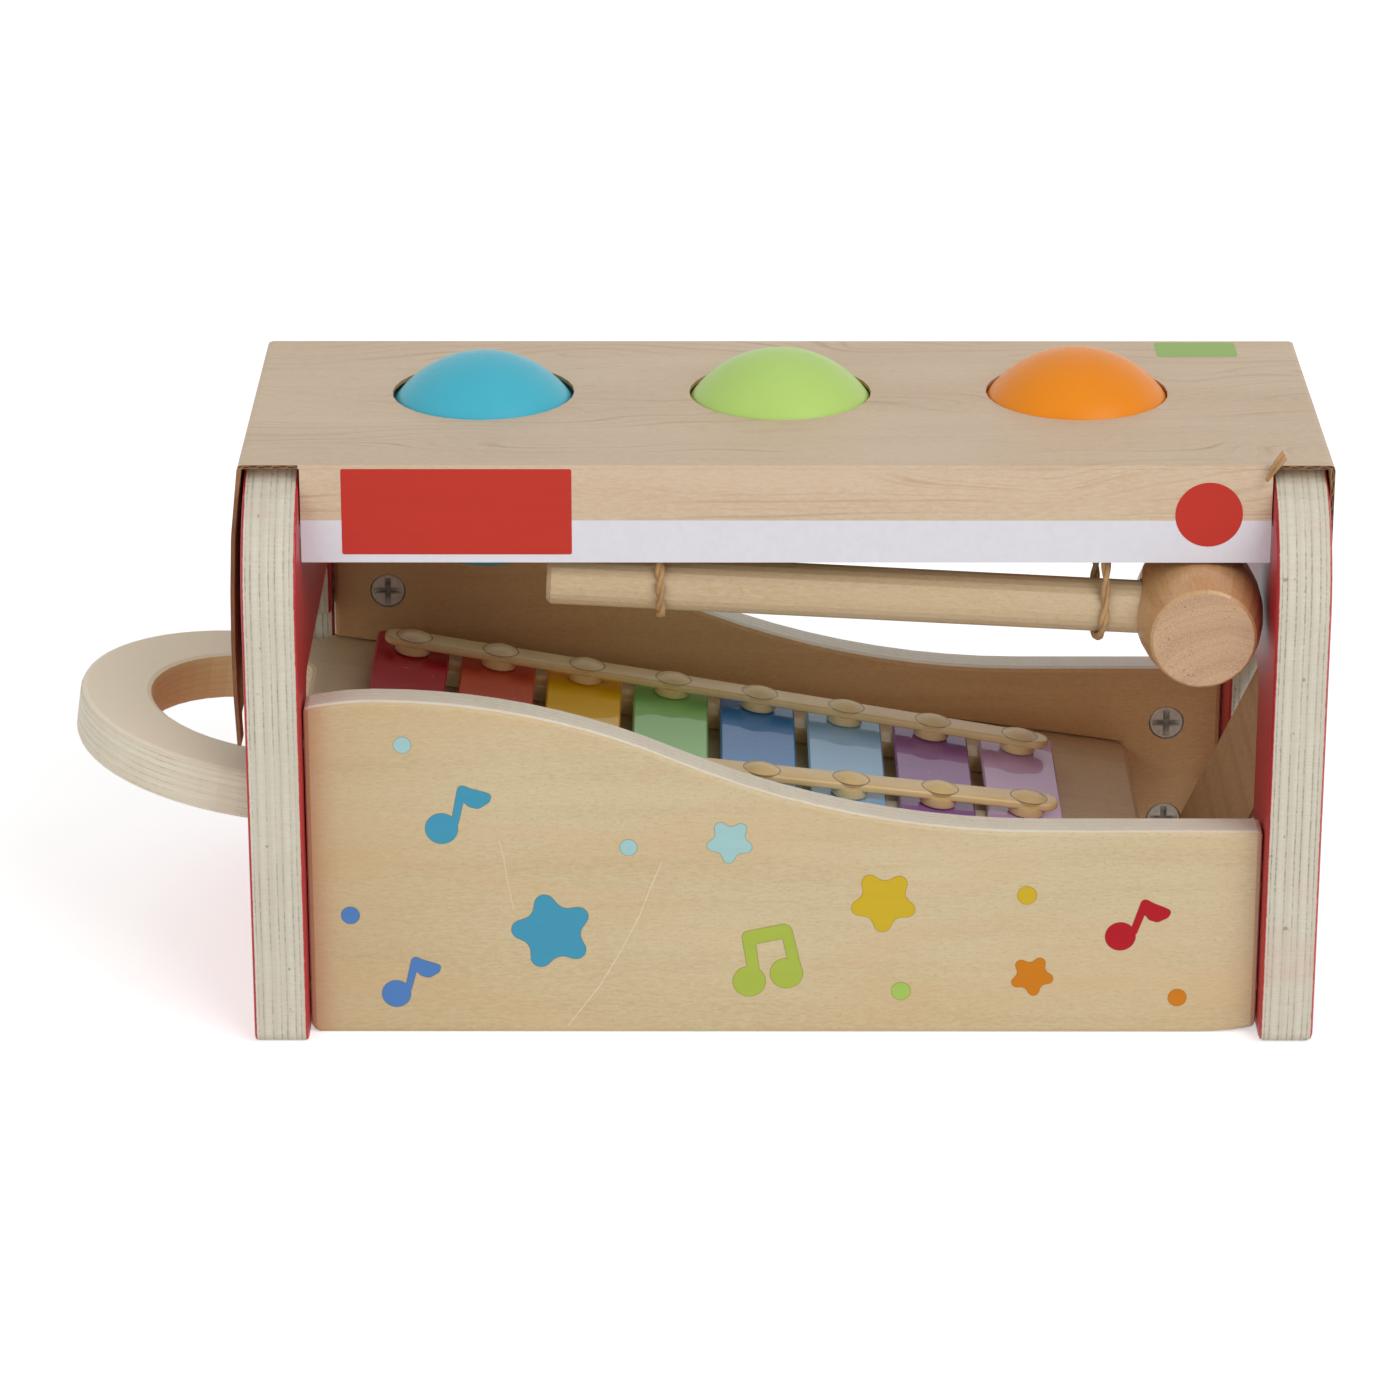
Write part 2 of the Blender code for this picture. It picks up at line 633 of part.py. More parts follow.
def make_grip_rings(finishes):
    """Rubber rings that grip each ball at its widest, with a rounded inner lip."""
    inner = BALL_RADIUS + RING_GAP
    outer = inner + RING_WALL
    soft = RING_HEIGHT * RING_EASE_SHARE
    profile = [(inner + soft, 0), (outer, 0), (outer, RING_HEIGHT),
               (inner + soft, RING_HEIGHT), (inner, RING_HEIGHT - soft), (inner, soft)]
    for index, name in enumerate(BALL_PROUD):
        ring = add_object("grip_ring_" + name, lathe_mesh("grip_ring_" + name, profile, HOLE_STEPS),
                          finishes["grip_rubber"])
        ring.location = (ball_x(index), BALL_BACK, TOP_UNDERSIDE + SEAT_GAP)
        shade(ring)


def make_dowels(board, ends, finishes):
    """Four wooden dowels that carry the top board in the end panels."""
    height = (TOP_UNDERSIDE + BENCH_HEIGHT) / 2
    reach = DOWEL_LENGTH / 2
    for end, wall in (("left", INNER_LEFT), ("right", INNER_RIGHT)):
        for side, way in (("front", -1), ("rear", 1)):
            label = f"{end}_{side}"
            spread = way * DOWEL_SPREAD
            dowel = rod_mesh("dowel_" + label, DOWEL_RADIUS, (wall - reach, spread, height),
                             (wall + reach, spread, height))
            add_object("dowel_" + label, dowel, finishes["board_wood"])
            far = reach + SEAT_GAP
            bore = rod_mesh("dowel_bore_" + label, DOWEL_RADIUS + SEAT_GAP,
                            (wall - far, spread, height), (wall + far, spread, height))
            add_boolean(board, bore)
            cut_with(ends[end], bpy.data.objects["dowel_bore_" + label])


# Sliding board with its ring handle

def slope_frame():
    """The empty that the sliding pieces hang on: the board's top at the left inner face."""
    slope = bpy.data.objects.new("xylophone_frame", None)
    bpy.context.scene.collection.objects.link(slope)
    slope.location = (INNER_LEFT, 0, BOARD_TOP_AT_LEFT)
    slope.rotation_euler = (0, BOARD_SLOPE, 0)
    return slope


def board_outline():
    """The board seen from above: a round handle that steps out to the width of the grooves."""
    centre = -CENTRE_IN_WALL / SLOPE_COS
    step = centre + SHOULDER_BACK
    wide = step + SHOULDER_LENGTH
    ring = arc((centre, 0), HANDLE_RADIUS, math.pi / 2, 3 * math.pi / 2, 3 * WIDE_ARC_STEPS)
    radius = BOARD_CORNER_RADIUS
    far = arc((BOARD_LENGTH - radius, -BOARD_HALF + radius), radius, -math.pi / 2, 0, ARC_STEPS)
    near = arc((BOARD_LENGTH - radius, BOARD_HALF - radius), radius, 0, math.pi / 2, ARC_STEPS)
    return (ring + [Vector((step, -HANDLE_RADIUS)), Vector((wide, -BOARD_HALF))] + far + near
            + [Vector((wide, BOARD_HALF)), Vector((step, HANDLE_RADIUS))])


def handle_hole():
    """The finger hole in the handle, round outside and flat towards the bench."""
    centre = -CENTRE_IN_WALL / SLOPE_COS
    flat = centre + HANDLE_HOLE_FLAT
    radius = HANDLE_HOLE_CORNER
    round_side = arc((centre, 0), HANDLE_HOLE_RADIUS, math.pi / 2, 3 * math.pi / 2,
                     2 * WIDE_ARC_STEPS)
    low = arc((flat - radius, -HANDLE_HOLE_RADIUS + radius), radius, -math.pi / 2, 0, ARC_STEPS)
    high = arc((flat - radius, HANDLE_HOLE_RADIUS - radius), radius, 0, math.pi / 2, ARC_STEPS)
    return round_side + low + high


def make_sliding_board(slope, finishes):
    """The sloping board that carries the keys and ends in the ring handle."""
    mesh = prism_mesh("xylophone_board", board_outline(), "Z", -BOARD_THICKNESS, 0)
    board = add_object("xylophone_board", mesh, finishes["board_wood"], slope)
    cutter = prism_mesh("handle_hole", handle_hole(), "Z", -BOARD_THICKNESS - OVERRUN, OVERRUN)
    add_boolean(board, cutter, parent=slope)
    add_bevel(board, BOARD_EDGE_ROUND)
    return board


# Keys and rails

def key_share(index):
    """How far along the row a key is: 0 at the longest, 1 at the shortest."""
    return index / (len(KEY_NAMES) - 1)


def key_length(index):
    """A key's length, which falls evenly along the row."""
    return KEY_LONGEST + (KEY_SHORTEST - KEY_LONGEST) * key_share(index)


def key_x(index):
    """The place of a key's middle along the board."""
    return KEY_FIRST + index * KEY_PITCH


def rail_y(share, way):
    """The distance of a rail from the board's middle line; the rails close up with the keys."""
    wide = KEY_LONGEST / 2 - RAIL_FROM_LONGEST
    narrow = KEY_SHORTEST / 2 - RAIL_FROM_SHORTEST
    return way * (wide + (narrow - wide) * share) - KEYS_FORWARD


def rail_point(index, way, height):
    """The point on a rail's middle line at a key, or part of the way between two."""
    return Vector((key_x(index), rail_y(key_share(index), way), height))


def rail_outline(way):
    """A rail seen from above: a straight strip with round ends."""
    first = rail_point(0, way, 0)
    last = rail_point(len(KEY_NAMES) - 1, way, 0)
    along = (last - first).normalized()
    turn = math.atan2(along.y, along.x)
    half = RAIL_WIDTH / 2
    reach = RAIL_OVERHANG - half
    start = first - along * reach
    end = last + along * reach
    quarter = math.pi / 2
    tail = arc(start.xy, half, turn + quarter, turn + 3 * quarter, ARC_STEPS)
    head = arc(end.xy, half, turn - quarter, turn + quarter, ARC_STEPS)
    return tail + head


def stud_profile():
    """A rail's stud: pin through the key, collar on the key, and the dome on top."""
    foot = SEAT_GAP + BASE_HEIGHT - PIN_IN_BASE
    across, up = DOME_SHARES
    return [(0, foot), (PIN_RADIUS, foot), (PIN_RADIUS, COLLAR_UNDERSIDE),
            (COLLAR_RADIUS, COLLAR_UNDERSIDE), (COLLAR_RADIUS, RAIL_UNDERSIDE + RAIL_ROUND),
            (DOME_RADIUS, RAIL_TOP), (DOME_RADIUS * across, RAIL_TOP + DOME_HEIGHT * up),
            (0, DOME_TOP)]


def studs(name, way, profile, steps):
    """One spun shape at every key along a rail, as one mesh."""
    meshes = []
    for index in range(len(KEY_NAMES)):
        move = Matrix.Translation(rail_point(index, way, 0))
        meshes.append(lathe_mesh(name + str(index), profile, steps, move))
    return join_meshes(name, meshes)


def make_rails(slope, finishes):
    """The moulded rails above and below the keys."""
    for side, way in (("front", -1), ("rear", 1)):
        top_name = "top_rail_" + side
        bar = prism_mesh(top_name, rail_outline(way), "Z", RAIL_UNDERSIDE, RAIL_TOP)
        top = add_object(top_name, bar, finishes["rail_plastic"], slope)
        add_bevel(top, RAIL_ROUND, 1)
        add_boolean(top, studs(top_name + "_studs", way, stud_profile(), ROUND_STEPS), "UNION",
                    slope)
        base_name = "base_rail_" + side
        strip = prism_mesh(base_name, rail_outline(way), "Z", SEAT_GAP, SEAT_GAP + BASE_HEIGHT)
        base = add_object(base_name, strip, finishes["rail_plastic"], slope)
        floor = SEAT_GAP + BASE_HEIGHT - PIN_IN_BASE - SEAT_GAP
        wide = PIN_RADIUS + SEAT_GAP
        socket = [(0, floor), (wide, floor), (wide, KEY_UNDERSIDE), (0, KEY_UNDERSIDE)]
        add_boolean(base, studs(base_name + "_sockets", way, socket, ROUND_STEPS), parent=slope)


def make_keys(slope, finishes):
    """Eight enamelled steel keys, each shorter than the one before, drilled for its pins."""
    for index, color in enumerate(KEY_NAMES):
        name = "key_" + color
        half_length = key_length(index) / 2
        low = (key_x(index) - KEY_WIDTH / 2, -half_length - KEYS_FORWARD)
        high = (key_x(index) + KEY_WIDTH / 2, half_length - KEYS_FORWARD)
        mesh = prism_mesh(name, rectangle(low, high, KEY_CORNER_RADIUS, SMALL_ARC_STEPS), "Z",
                          KEY_UNDERSIDE, KEY_TOP)
        key = add_object(name, mesh, finishes[name], slope)
        add_bevel(key, KEY_BEVEL, 1)
        drills = [rod_mesh(name + "_drill", PIN_RADIUS + SEAT_GAP,
                           rail_point(index, way, KEY_UNDERSIDE - OVERRUN),
                           rail_point(index, way, KEY_TOP + OVERRUN)) for way in (-1, 1)]
        add_boolean(key, join_meshes(name + "_holes", drills), parent=slope)


def screw_profile(grow):
    """A countersunk screw up through the board, grown all round by a gap."""
    head = -BOARD_THICKNESS + SEAT_GAP
    wide = SCREW_HEAD_RADIUS + grow
    thin = SCREW_RADIUS + grow
    tip = SEAT_GAP + SCREW_IN_BASE + grow
    return [(0, head), (wide, head), (thin, head + SCREW_HEAD_HEIGHT), (thin, tip), (0, tip)]


def screw_hole_profile():
    """The hole that a screw sits in, open below the board."""
    below = -BOARD_THICKNESS - OVERRUN
    screw = screw_profile(SEAT_GAP)
    return [(0, below), (SCREW_HEAD_RADIUS + SEAT_GAP, below)] + screw[1:]


def make_rail_screws(board, slope, finishes):
    """Screws from under the board that hold the base rails, between the outermost keys."""
    last = len(KEY_NAMES) - 1
    for side, way in (("front", -1), ("rear", 1)):
        for end, index in (("left", BETWEEN_KEYS_SHARE), ("right", last - BETWEEN_KEYS_SHARE)):
            label = f"{side}_{end}"
            move = Matrix.Translation(rail_point(index, way, 0))
            screw = lathe_mesh("rail_screw_" + label, screw_profile(0), ROUND_STEPS, move)
            add_object("rail_screw_" + label, screw, finishes["screw_steel"], slope)
            hole = lathe_mesh("screw_hole_" + label, screw_hole_profile(), ROUND_STEPS, move)
            add_boolean(board, hole, parent=slope)
            cut_with(bpy.data.objects["base_rail_" + side],
                     bpy.data.objects["screw_hole_" + label])


# Mallet

def mallet_turn():
    """The mallet's own frame: its handle runs along local -X from the head's middle."""
    turn = Matrix.Rotation(MALLET_DIP, 4, "Y") @ Matrix.Rotation(MALLET_ROLL, 4, "X")
    return Matrix.Translation((MALLET_X, MALLET_Y, MALLET_HEIGHT)) @ turn


def head_profile():
    """The barrel-shaped head: flat faces with eased edges and a full round middle."""
    half = HEAD_LENGTH / 2
    ease = HEAD_EDGE_ROUND
    bulge = HEAD_RADIUS - HEAD_FACE_RADIUS
    profile = [(0, -half), (HEAD_FACE_RADIUS - ease, -half)]
    steps = 2 * ARC_STEPS
    for step in range(steps + 1):
        share = 2 * step / steps - 1
        profile.append((HEAD_RADIUS - bulge * share ** 2, (half - ease) * share))
    return profile + [(HEAD_FACE_RADIUS - ease, half), (0, half)]


def make_mallet(finishes):
    """A turned barrel head on a plain dowel handle."""
    frame = bpy.data.objects.new("mallet_frame", None)
    bpy.context.scene.collection.objects.link(frame)
    frame.matrix_world = mallet_turn()
    upright = Matrix.Rotation(math.pi / 2, 4, "X")
    head = add_object("mallet_head", lathe_mesh("mallet_head", head_profile(), HEAD_STEPS, upright),
                      finishes["mallet_wood"], frame)
    blind = HEAD_BORE_PAST_AXIS
    bore = rod_mesh("mallet_bore", HANDLE_ROD_RADIUS + SEAT_GAP, (blind + SEAT_GAP, 0, 0),
                    (-HEAD_RADIUS - OVERRUN, 0, 0), 2 * ROUND_STEPS)
    add_boolean(head, bore, parent=frame)
    shade(head)
    chamfer = HANDLE_ROD_CHAMFER
    radius = HANDLE_ROD_RADIUS
    profile = [(0, 0), (radius, 0), (radius, HANDLE_ROD_LENGTH - chamfer),
               (radius - chamfer, HANDLE_ROD_LENGTH), (0, HANDLE_ROD_LENGTH)]
    lay = Matrix.Translation((blind, 0, 0)) @ Matrix.Rotation(-math.pi / 2, 4, "Y")
    rod = add_object("mallet_handle", lathe_mesh("mallet_handle", profile, 2 * ROUND_STEPS, lay),
                     finishes["mallet_wood"], frame)
    shade(rod)


# Twine

def twine_curve(name, points, finishes):
    """A length of twine along its route."""
    curve = bpy.data.curves.new(name, "CURVE")
    curve.dimensions = "3D"
    curve.bevel_depth = TWINE_RADIUS
    curve.bevel_resolution = 2
    curve.use_fill_caps = True
    spline = curve.splines.new("POLY")
    spline.points.add(len(points) - 1)
    for spot, point in zip(spline.points, points):
        spot.co = (*point, 1.0)
    add_object(name, curve, finishes["twine"])


def tie_points(middle):
    """A loop under the handle, its two ends up against the top board's underside."""
    axis_z = MALLET_HEIGHT + (MALLET_X - middle) * math.tan(MALLET_DIP)
    radius = HANDLE_ROD_RADIUS + SEAT_GAP + TWINE_RADIUS
    top = TOP_UNDERSIDE - 2 * SEAT_GAP
    strand = Vector((TIE_SPREAD, top - axis_z))
    lift = math.atan2(strand.y, strand.x) - math.acos(radius / strand.length)
    bend = arc((MALLET_Y, axis_z), radius, math.pi - lift, 2 * math.pi + lift, 3 * ARC_STEPS)
    route = [(MALLET_Y - TIE_SPREAD, top)] + [tuple(point) for point in bend]
    route.append((MALLET_Y + TIE_SPREAD, top))
    return [(middle, across, height) for across, height in route]


def make_twine(finishes):
    """Two ties that hold the mallet up, and the loose end at the sleeve's right corner."""
    twine_curve("twine_tie_left", tie_points(MALLET_X - TIE_LEFT), finishes)
    twine_curve("twine_tie_right", tie_points(MALLET_X - TIE_RIGHT), finishes)
    clear = TWINE_RADIUS + SEAT_GAP
    front = CARD_FRONT - clear
    start = Vector((INNER_RIGHT - clear, front, CARD_TOP - TWINE_END_DROP))
    bend = Vector((INNER_RIGHT, front - clear, CARD_TOP))
    end = Vector((INNER_RIGHT + TWINE_END_REACH, front - clear, CARD_TOP + TWINE_END_RISE))
    steps = ARC_STEPS
    points = []
    for step in range(steps + 1):
        share = step / steps
        points.append(start.lerp(bend, share).lerp(bend.lerp(end, share), share))
    twine_curve("twine_end", points, finishes)


# Card sleeve

def smooth_path(corners, radius, steps=FOLD_STEPS):
    """An open folded path whose creases are small arcs."""
    path = [Vector(corners[0])]
    for before, corner, after in zip(corners, corners[1:], corners[2:]):
        here = Vector(corner)
        back = (Vector(before) - here).normalized()
        on = (Vector(after) - here).normalized()
        start = here + back * radius
        end = here + on * radius
        for step in range(steps + 1):
            share = step / steps
            path.append(start.lerp(here, share).lerp(here.lerp(end, share), share))
    return path + [Vector(corners[-1])]


def flap_bulge():
    """The left flap's outer side, from its lower end up: it stands a little off the panel."""
    side = OUTER_LEFT - SEAT_GAP - CARD
    height = CARD_TOP - LEFT_FLAP_END
    return [(side - LEFT_FLAP_BULGE * lean, LEFT_FLAP_END + height * rise)
            for lean, rise in FLAP_BULGE_SHARES]


def wrap_path():
    """The sleeve seen from the front: left flap, top, right flap and the tucked-in tongue."""
    left = OUTER_LEFT - SEAT_GAP - CARD
    right = OUTER_RIGHT + SEAT_GAP + CARD
    corners = flap_bulge() + [(left, CARD_TOP), (right, CARD_TOP), (right, RIGHT_FLAP_CREASE),
                              (OUTER_RIGHT - RIGHT_FLAP_IN, RIGHT_FLAP_END)]
    return smooth_path(corners, CARD_FOLD_RADIUS)


def lip_path():
    """The sleeve seen from the side: front lip, top and rear lip."""
    low = CARD_TOP - CARD_LIP
    return smooth_path([(CARD_FRONT, low), (CARD_FRONT, CARD_TOP),
                        (CARD_REAR, CARD_TOP), (CARD_REAR, low)], CARD_FOLD_RADIUS)


def make_sleeve(finishes):
    """The folded card sleeve, with its ball holes and the cut-out above the handle."""
    wrap = prism_mesh("card_sleeve", ribbon(wrap_path(), CARD), "Y", CARD_FRONT, CARD_REAR)
    sleeve = add_object("card_sleeve", wrap, finishes["card_print"])
    lips = prism_mesh("sleeve_lips", ribbon(lip_path(), CARD), "X",
                      INNER_LEFT + SEAT_GAP, INNER_RIGHT - SEAT_GAP)
    add_boolean(sleeve, lips, "UNION")
    for index, name in enumerate(BALL_PROUD):
        middle = (ball_x(index), BALL_BACK)
        hole = rod_mesh("card_hole_" + name, CARD_HOLE_RADIUS, (*middle, CARD_UNDERSIDE - OVERRUN),
                        (*middle, CARD_TOP + OVERRUN), HOLE_STEPS)
        add_boolean(sleeve, hole)
    rails_pass = BOARD_TOP_AT_FLAP + (DOME_TOP + LEFT_FLAP_CLEARANCE) / SLOPE_COS
    notch = rectangle((-SLOT_HALF, LEFT_FLAP_END - OVERRUN), (SLOT_HALF, rails_pass),
                      CARD_FOLD_RADIUS, FOLD_STEPS)
    add_boolean(sleeve, prism_mesh("flap_notch", notch, "X", FLAP_OUTSIDE - OVERRUN, OUTER_LEFT))
    tongue = DOOR_HALF - TONGUE_GAP
    for side, way in (("front", -1), ("rear", 1)):
        across = sorted((way * tongue, way * BENCH_DEPTH / 2))
        waste = [(across[0], RIGHT_FLAP_END - OVERRUN), (across[1], RIGHT_FLAP_END - OVERRUN),
                 (across[1], RIGHT_FLAP_CREASE + CARD_FOLD_RADIUS),
                 (across[0], RIGHT_FLAP_CREASE + CARD_FOLD_RADIUS)]
        add_boolean(sleeve, prism_mesh("tongue_side_" + side, waste, "X",
                                       OUTER_RIGHT - RIGHT_FLAP_IN - OVERRUN,
                                       OUTER_RIGHT + RIGHT_REACH + OVERRUN))


def clear_scene():
    """Start from an empty scene."""
    for leftover in list(bpy.data.objects):
        bpy.data.objects.remove(leftover, do_unlink=True)


def main():
    clear_scene()
    finishes = make_materials()
    slope = slope_frame()
    ends = {
        "left": make_end_panel("end_panel_left", OUTER_LEFT, slot_outline(),
                               finishes["red_paint"]),
        "right": make_end_panel("end_panel_right", INNER_RIGHT, door_outline(),
                                finishes["red_paint"]),
    }
    panels = {"front": make_long_panel("front", -1, finishes["panel_wood"]),
              "rear": make_long_panel("rear", 1, finishes["panel_wood"])}
    groove = make_groove_cutter(slope)
    for panel in panels.values():
        cut_with(panel, groove)
    make_cams(panels, ends, finishes)
    top = make_top_board(finishes)
    make_balls(finishes)
    make_grip_rings(finishes)
    make_dowels(top, ends, finishes)
    board = make_sliding_board(slope, finishes)
    make_keys(slope, finishes)
    make_rails(slope, finishes)
    make_rail_screws(board, slope, finishes)
    make_mallet(finishes)
    make_twine(finishes)
    make_sleeve(finishes)


main()
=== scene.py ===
import math
from functools import partialmethod

import bmesh
import bpy
import numpy as np
from mathutils import Matrix, Vector
from mathutils.geometry import tessellate_polygon


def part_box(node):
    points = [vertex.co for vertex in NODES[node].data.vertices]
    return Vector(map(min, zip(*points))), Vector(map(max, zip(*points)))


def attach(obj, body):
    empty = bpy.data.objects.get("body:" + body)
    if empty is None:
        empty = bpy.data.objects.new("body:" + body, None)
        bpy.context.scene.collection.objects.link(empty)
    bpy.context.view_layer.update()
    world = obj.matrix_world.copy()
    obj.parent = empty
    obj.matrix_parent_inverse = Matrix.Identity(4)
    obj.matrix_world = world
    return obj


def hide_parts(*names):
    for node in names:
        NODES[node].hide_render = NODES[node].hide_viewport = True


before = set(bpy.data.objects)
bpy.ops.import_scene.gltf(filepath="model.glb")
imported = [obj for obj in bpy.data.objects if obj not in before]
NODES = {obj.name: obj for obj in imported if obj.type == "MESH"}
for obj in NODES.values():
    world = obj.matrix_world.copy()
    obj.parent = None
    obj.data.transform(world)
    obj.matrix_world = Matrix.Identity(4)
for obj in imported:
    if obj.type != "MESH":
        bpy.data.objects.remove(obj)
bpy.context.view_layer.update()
MM = 0.001

# Places taken from the model
LEFT_LOW, LEFT_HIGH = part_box("end_panel_left")
RIGHT_LOW, RIGHT_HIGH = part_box("end_panel_right")
FRONT_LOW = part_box("front_panel")[0]
SLEEVE_LOW, SLEEVE_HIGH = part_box("card_sleeve")
HEAD_LOW, HEAD_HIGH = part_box("mallet_head")

# Slopes and sizes of the model that no box gives
BOARD_SLOPE = math.radians(8.19)
BOARD_THICK = 11.5 * MM
HANDLE_RADIUS = 40 * MM
MALLET_DIP = math.radians(3.05)
MALLET_ROLL = math.radians(4.2)
BALL_RADIUS = 25 * MM
TWINE_RADIUS = 0.75 * MM
CARD_THICK = 0.9 * MM

# The camera as fitted to the photo: lens in millimetres, place in metres, turns in degrees
LENS = 137.24
CAMERA_PLACE = (0.004137, -1.163251, 0.513814)
CAMERA_TURN = (68.679, 0, 0.074)

# The lamps: name, place, the point they look at, size and power
LAMPS = (("key_light", (1.0, -1.3, 1.4), (0, 0, 0.05), (1.3, 1.2), 18.5),
         ("fill_light", (-1.0, -1.5, 0.62), (0, 0, 0.06), (1.2, 0.7), 5.0))
WORLD_LEVEL = 0.50
FLOOR_GLOW = 0.50
FLOOR_REACH = 4.0

WHITE = (1, 1, 1, 1)
SHARP = math.radians(40)


def put(name, data):
    """A new object in the scene."""
    placed = bpy.data.objects.new(name, data)
    bpy.context.scene.collection.objects.link(placed)
    return placed


def make_camera():
    camera = bpy.data.cameras.new("camera")
    camera.sensor_width = 36
    camera.lens = LENS
    camera.clip_start = 0.05
    viewer = put("camera", camera)
    viewer.location = CAMERA_PLACE
    viewer.rotation_euler = [math.radians(turn) for turn in CAMERA_TURN]
    bpy.context.scene.camera = viewer


# Node materials

def rgb(red, green, blue):
    """An sRGB colour, 0 to 255, as a linear one."""
    shares = [value / 255 for value in (red, green, blue)]
    return (*(share / 12.92 if share <= 0.04045 else ((share + 0.055) / 1.055) ** 2.4
              for share in shares), 1.0)


def grey(value):
    return (value, value, value, 1)


class Nodes:
    """A node tree, built call by call."""

    def __init__(self, tree):
        self.tree = tree

    def feed(self, socket, value):
        if isinstance(value, bpy.types.NodeSocket):
            self.tree.links.new(value, socket)
        else:
            socket.default_value = value

    def node(self, kind, inputs, **settings):
        made = self.tree.nodes.new("ShaderNode" + kind)
        for key, value in settings.items():
            setattr(made, key, value)
        for key, value in inputs.items():
            self.feed(made.inputs[key], value)
        return made

    def split(self, vector):
        return self.node("SeparateXYZ", {0: vector}).outputs

    def join(self, x, y, z):
        return self.node("CombineXYZ", {0: x, 1: y, 2: z}).outputs[0]

    def calc(self, operation, first, second=0.0):
        return self.node("Math", {0: first, 1: second}, operation=operation).outputs[0]

    plus = partialmethod(calc, "ADD")
    minus = partialmethod(calc, "SUBTRACT")
    times = partialmethod(calc, "MULTIPLY")
    larger = partialmethod(calc, "MAXIMUM")
    smaller = partialmethod(calc, "MINIMUM")
    over = partialmethod(calc, "GREATER_THAN")
    under = partialmethod(calc, "LESS_THAN")
    sine = partialmethod(calc, "SINE")
    absolute = partialmethod(calc, "ABSOLUTE")

    def dot(self, first, second):
        return self.node("VectorMath", {0: first, 1: second}, operation="DOT_PRODUCT").outputs[1]

    def length(self, vector):
        return self.node("VectorMath", {0: vector}, operation="LENGTH").outputs[1]

    def span(self, value, low, high, start=0.0, end=1.0, smooth=False):
        """start where the value is low, end where it is high, and held beyond both."""
        return self.node("MapRange", {0: value, 1: low, 2: high, 3: start, 4: end},
                         interpolation_type="SMOOTHSTEP" if smooth else "LINEAR").outputs[0]

    def mix(self, share, first, second):
        return self.node("Mix", {0: share, 6: first, 7: second}, data_type="RGBA").outputs[2]

    def ramp(self, value, stops):
        made = self.node("ValToRGB", {0: value})
        elements = made.color_ramp.elements
        while len(elements) < len(stops):
            elements.new(1.0)
        for element, (place, color) in zip(elements, stops):
            element.position = place
        for element, (place, color) in zip(elements, stops):
            element.color = color
        return made.outputs[0]

    def bump(self, height, distance, strength, below=None):
        inputs = {"Height": height, "Distance": distance, "Strength": strength}
        if below:
            inputs["Normal"] = below
        return self.node("Bump", inputs).outputs[0]


class Shader(Nodes):
    """A new material and its nodes."""

    def __init__(self, name):
        self.material = bpy.data.materials.new(name)
        self.material.use_nodes = True
        super().__init__(self.material.node_tree)
        self.surface = self.tree.nodes["Principled BSDF"]
        coords = self.node("TexCoord", {}).outputs
        self.point, self.normal = coords["Object"], coords["Normal"]

    def set(self, **values):
        """Give the surface's inputs their values, and hand the material over."""
        for key, value in values.items():
            self.feed(self.surface.inputs[key.replace("_", " ")], value)
        return self.material

    def map(self, scale=(1, 1, 1), turn=(0, 0, 0), shift=(0, 0, 0), source=None):
        return self.node("Mapping", {"Vector": source or self.point, "Scale": scale,
                                     "Rotation": turn, "Location": shift}).outputs[0]

    def noise(self, scale, detail=3.0, rough=0.5, warp=0.0, shift=(0, 0, 0), source=None):
        """Noise that is scaled by one number, or by one for each axis."""
        scale = scale if isinstance(scale, tuple) else (scale, scale, scale)
        laid = self.map(scale, shift=shift, source=source)
        return self.node("TexNoise", {"Vector": laid, "Scale": 1.0, "Detail": detail,
                                      "Roughness": rough, "Distortion": warp}).outputs[0]

    def level(self, axis, low, high):
        """How far along an axis a point is, from 0 at low to 1 at high."""
        return self.span(self.split(self.point)[axis], low, high)

    def facing(self, axis):
        """How squarely a face looks along an axis, either way."""
        return self.absolute(self.split(self.normal)[axis])


def wood_grain(shader, colors, along_y=False, turn=(0, 0, 0), figure=1.0, seed=0.0, source=None):
    """Face grain of pale wood: soft streaks, fine fibres, wide clouds and small flecks.

    It gives a colour and a height. The grain runs along x unless along_y is set."""
    laid = shader.map(turn=turn, shift=(seed, seed * 0.7, seed * 0.4), source=source)

    def grain(along, aside, *settings):
        scale = (aside, along, aside) if along_y else (along, aside, aside)
        return shader.noise(scale, *settings, source=laid)

    wide = grain(6, 26, 3.0, 0.55, 0.8)
    streak = grain(11, 190, 4.0, 0.65, 0.5)
    fibre = grain(420, 1700, 3.0, 0.7)
    fleck = grain(900, 2700, 1.0)
    base, dark, light = colors
    color = shader.mix(shader.span(wide, 0.30, 0.72), dark, light)
    color = shader.mix(0.5, color, base)
    color = shader.mix(shader.span(streak, 0.45, 0.72, 0.0, 0.55 * figure), color, dark)
    color = shader.mix(shader.span(fibre, 0.35, 0.65, 0.0, 0.55), color, light)
    color = shader.mix(shader.span(fleck, 0.58, 0.74, 0.0, 0.55 * figure), color, dark)
    return color, shader.plus(shader.times(streak, 0.6), fibre)


# Plywood: its pale, shaded and glue colours, and where its glue lines are in the thickness
BENCH_PLY = ((rgb(216, 210, 194), rgb(198, 189, 168), rgb(108, 101, 88)),
             (0.09, 0.18, 0.35, 0.51, 0.62, 0.78, 0.88))
LONG_PLY = ((rgb(238, 231, 214), rgb(224, 213, 192), rgb(186, 168, 142)),
            (0.14, 0.30, 0.45, 0.58, 0.72, 0.86))
BOARD_PLY = ((rgb(232, 224, 202), rgb(214, 200, 172), rgb(164, 136, 100)),
             (0.10, 0.24, 0.38, 0.52, 0.66, 0.79, 0.90))

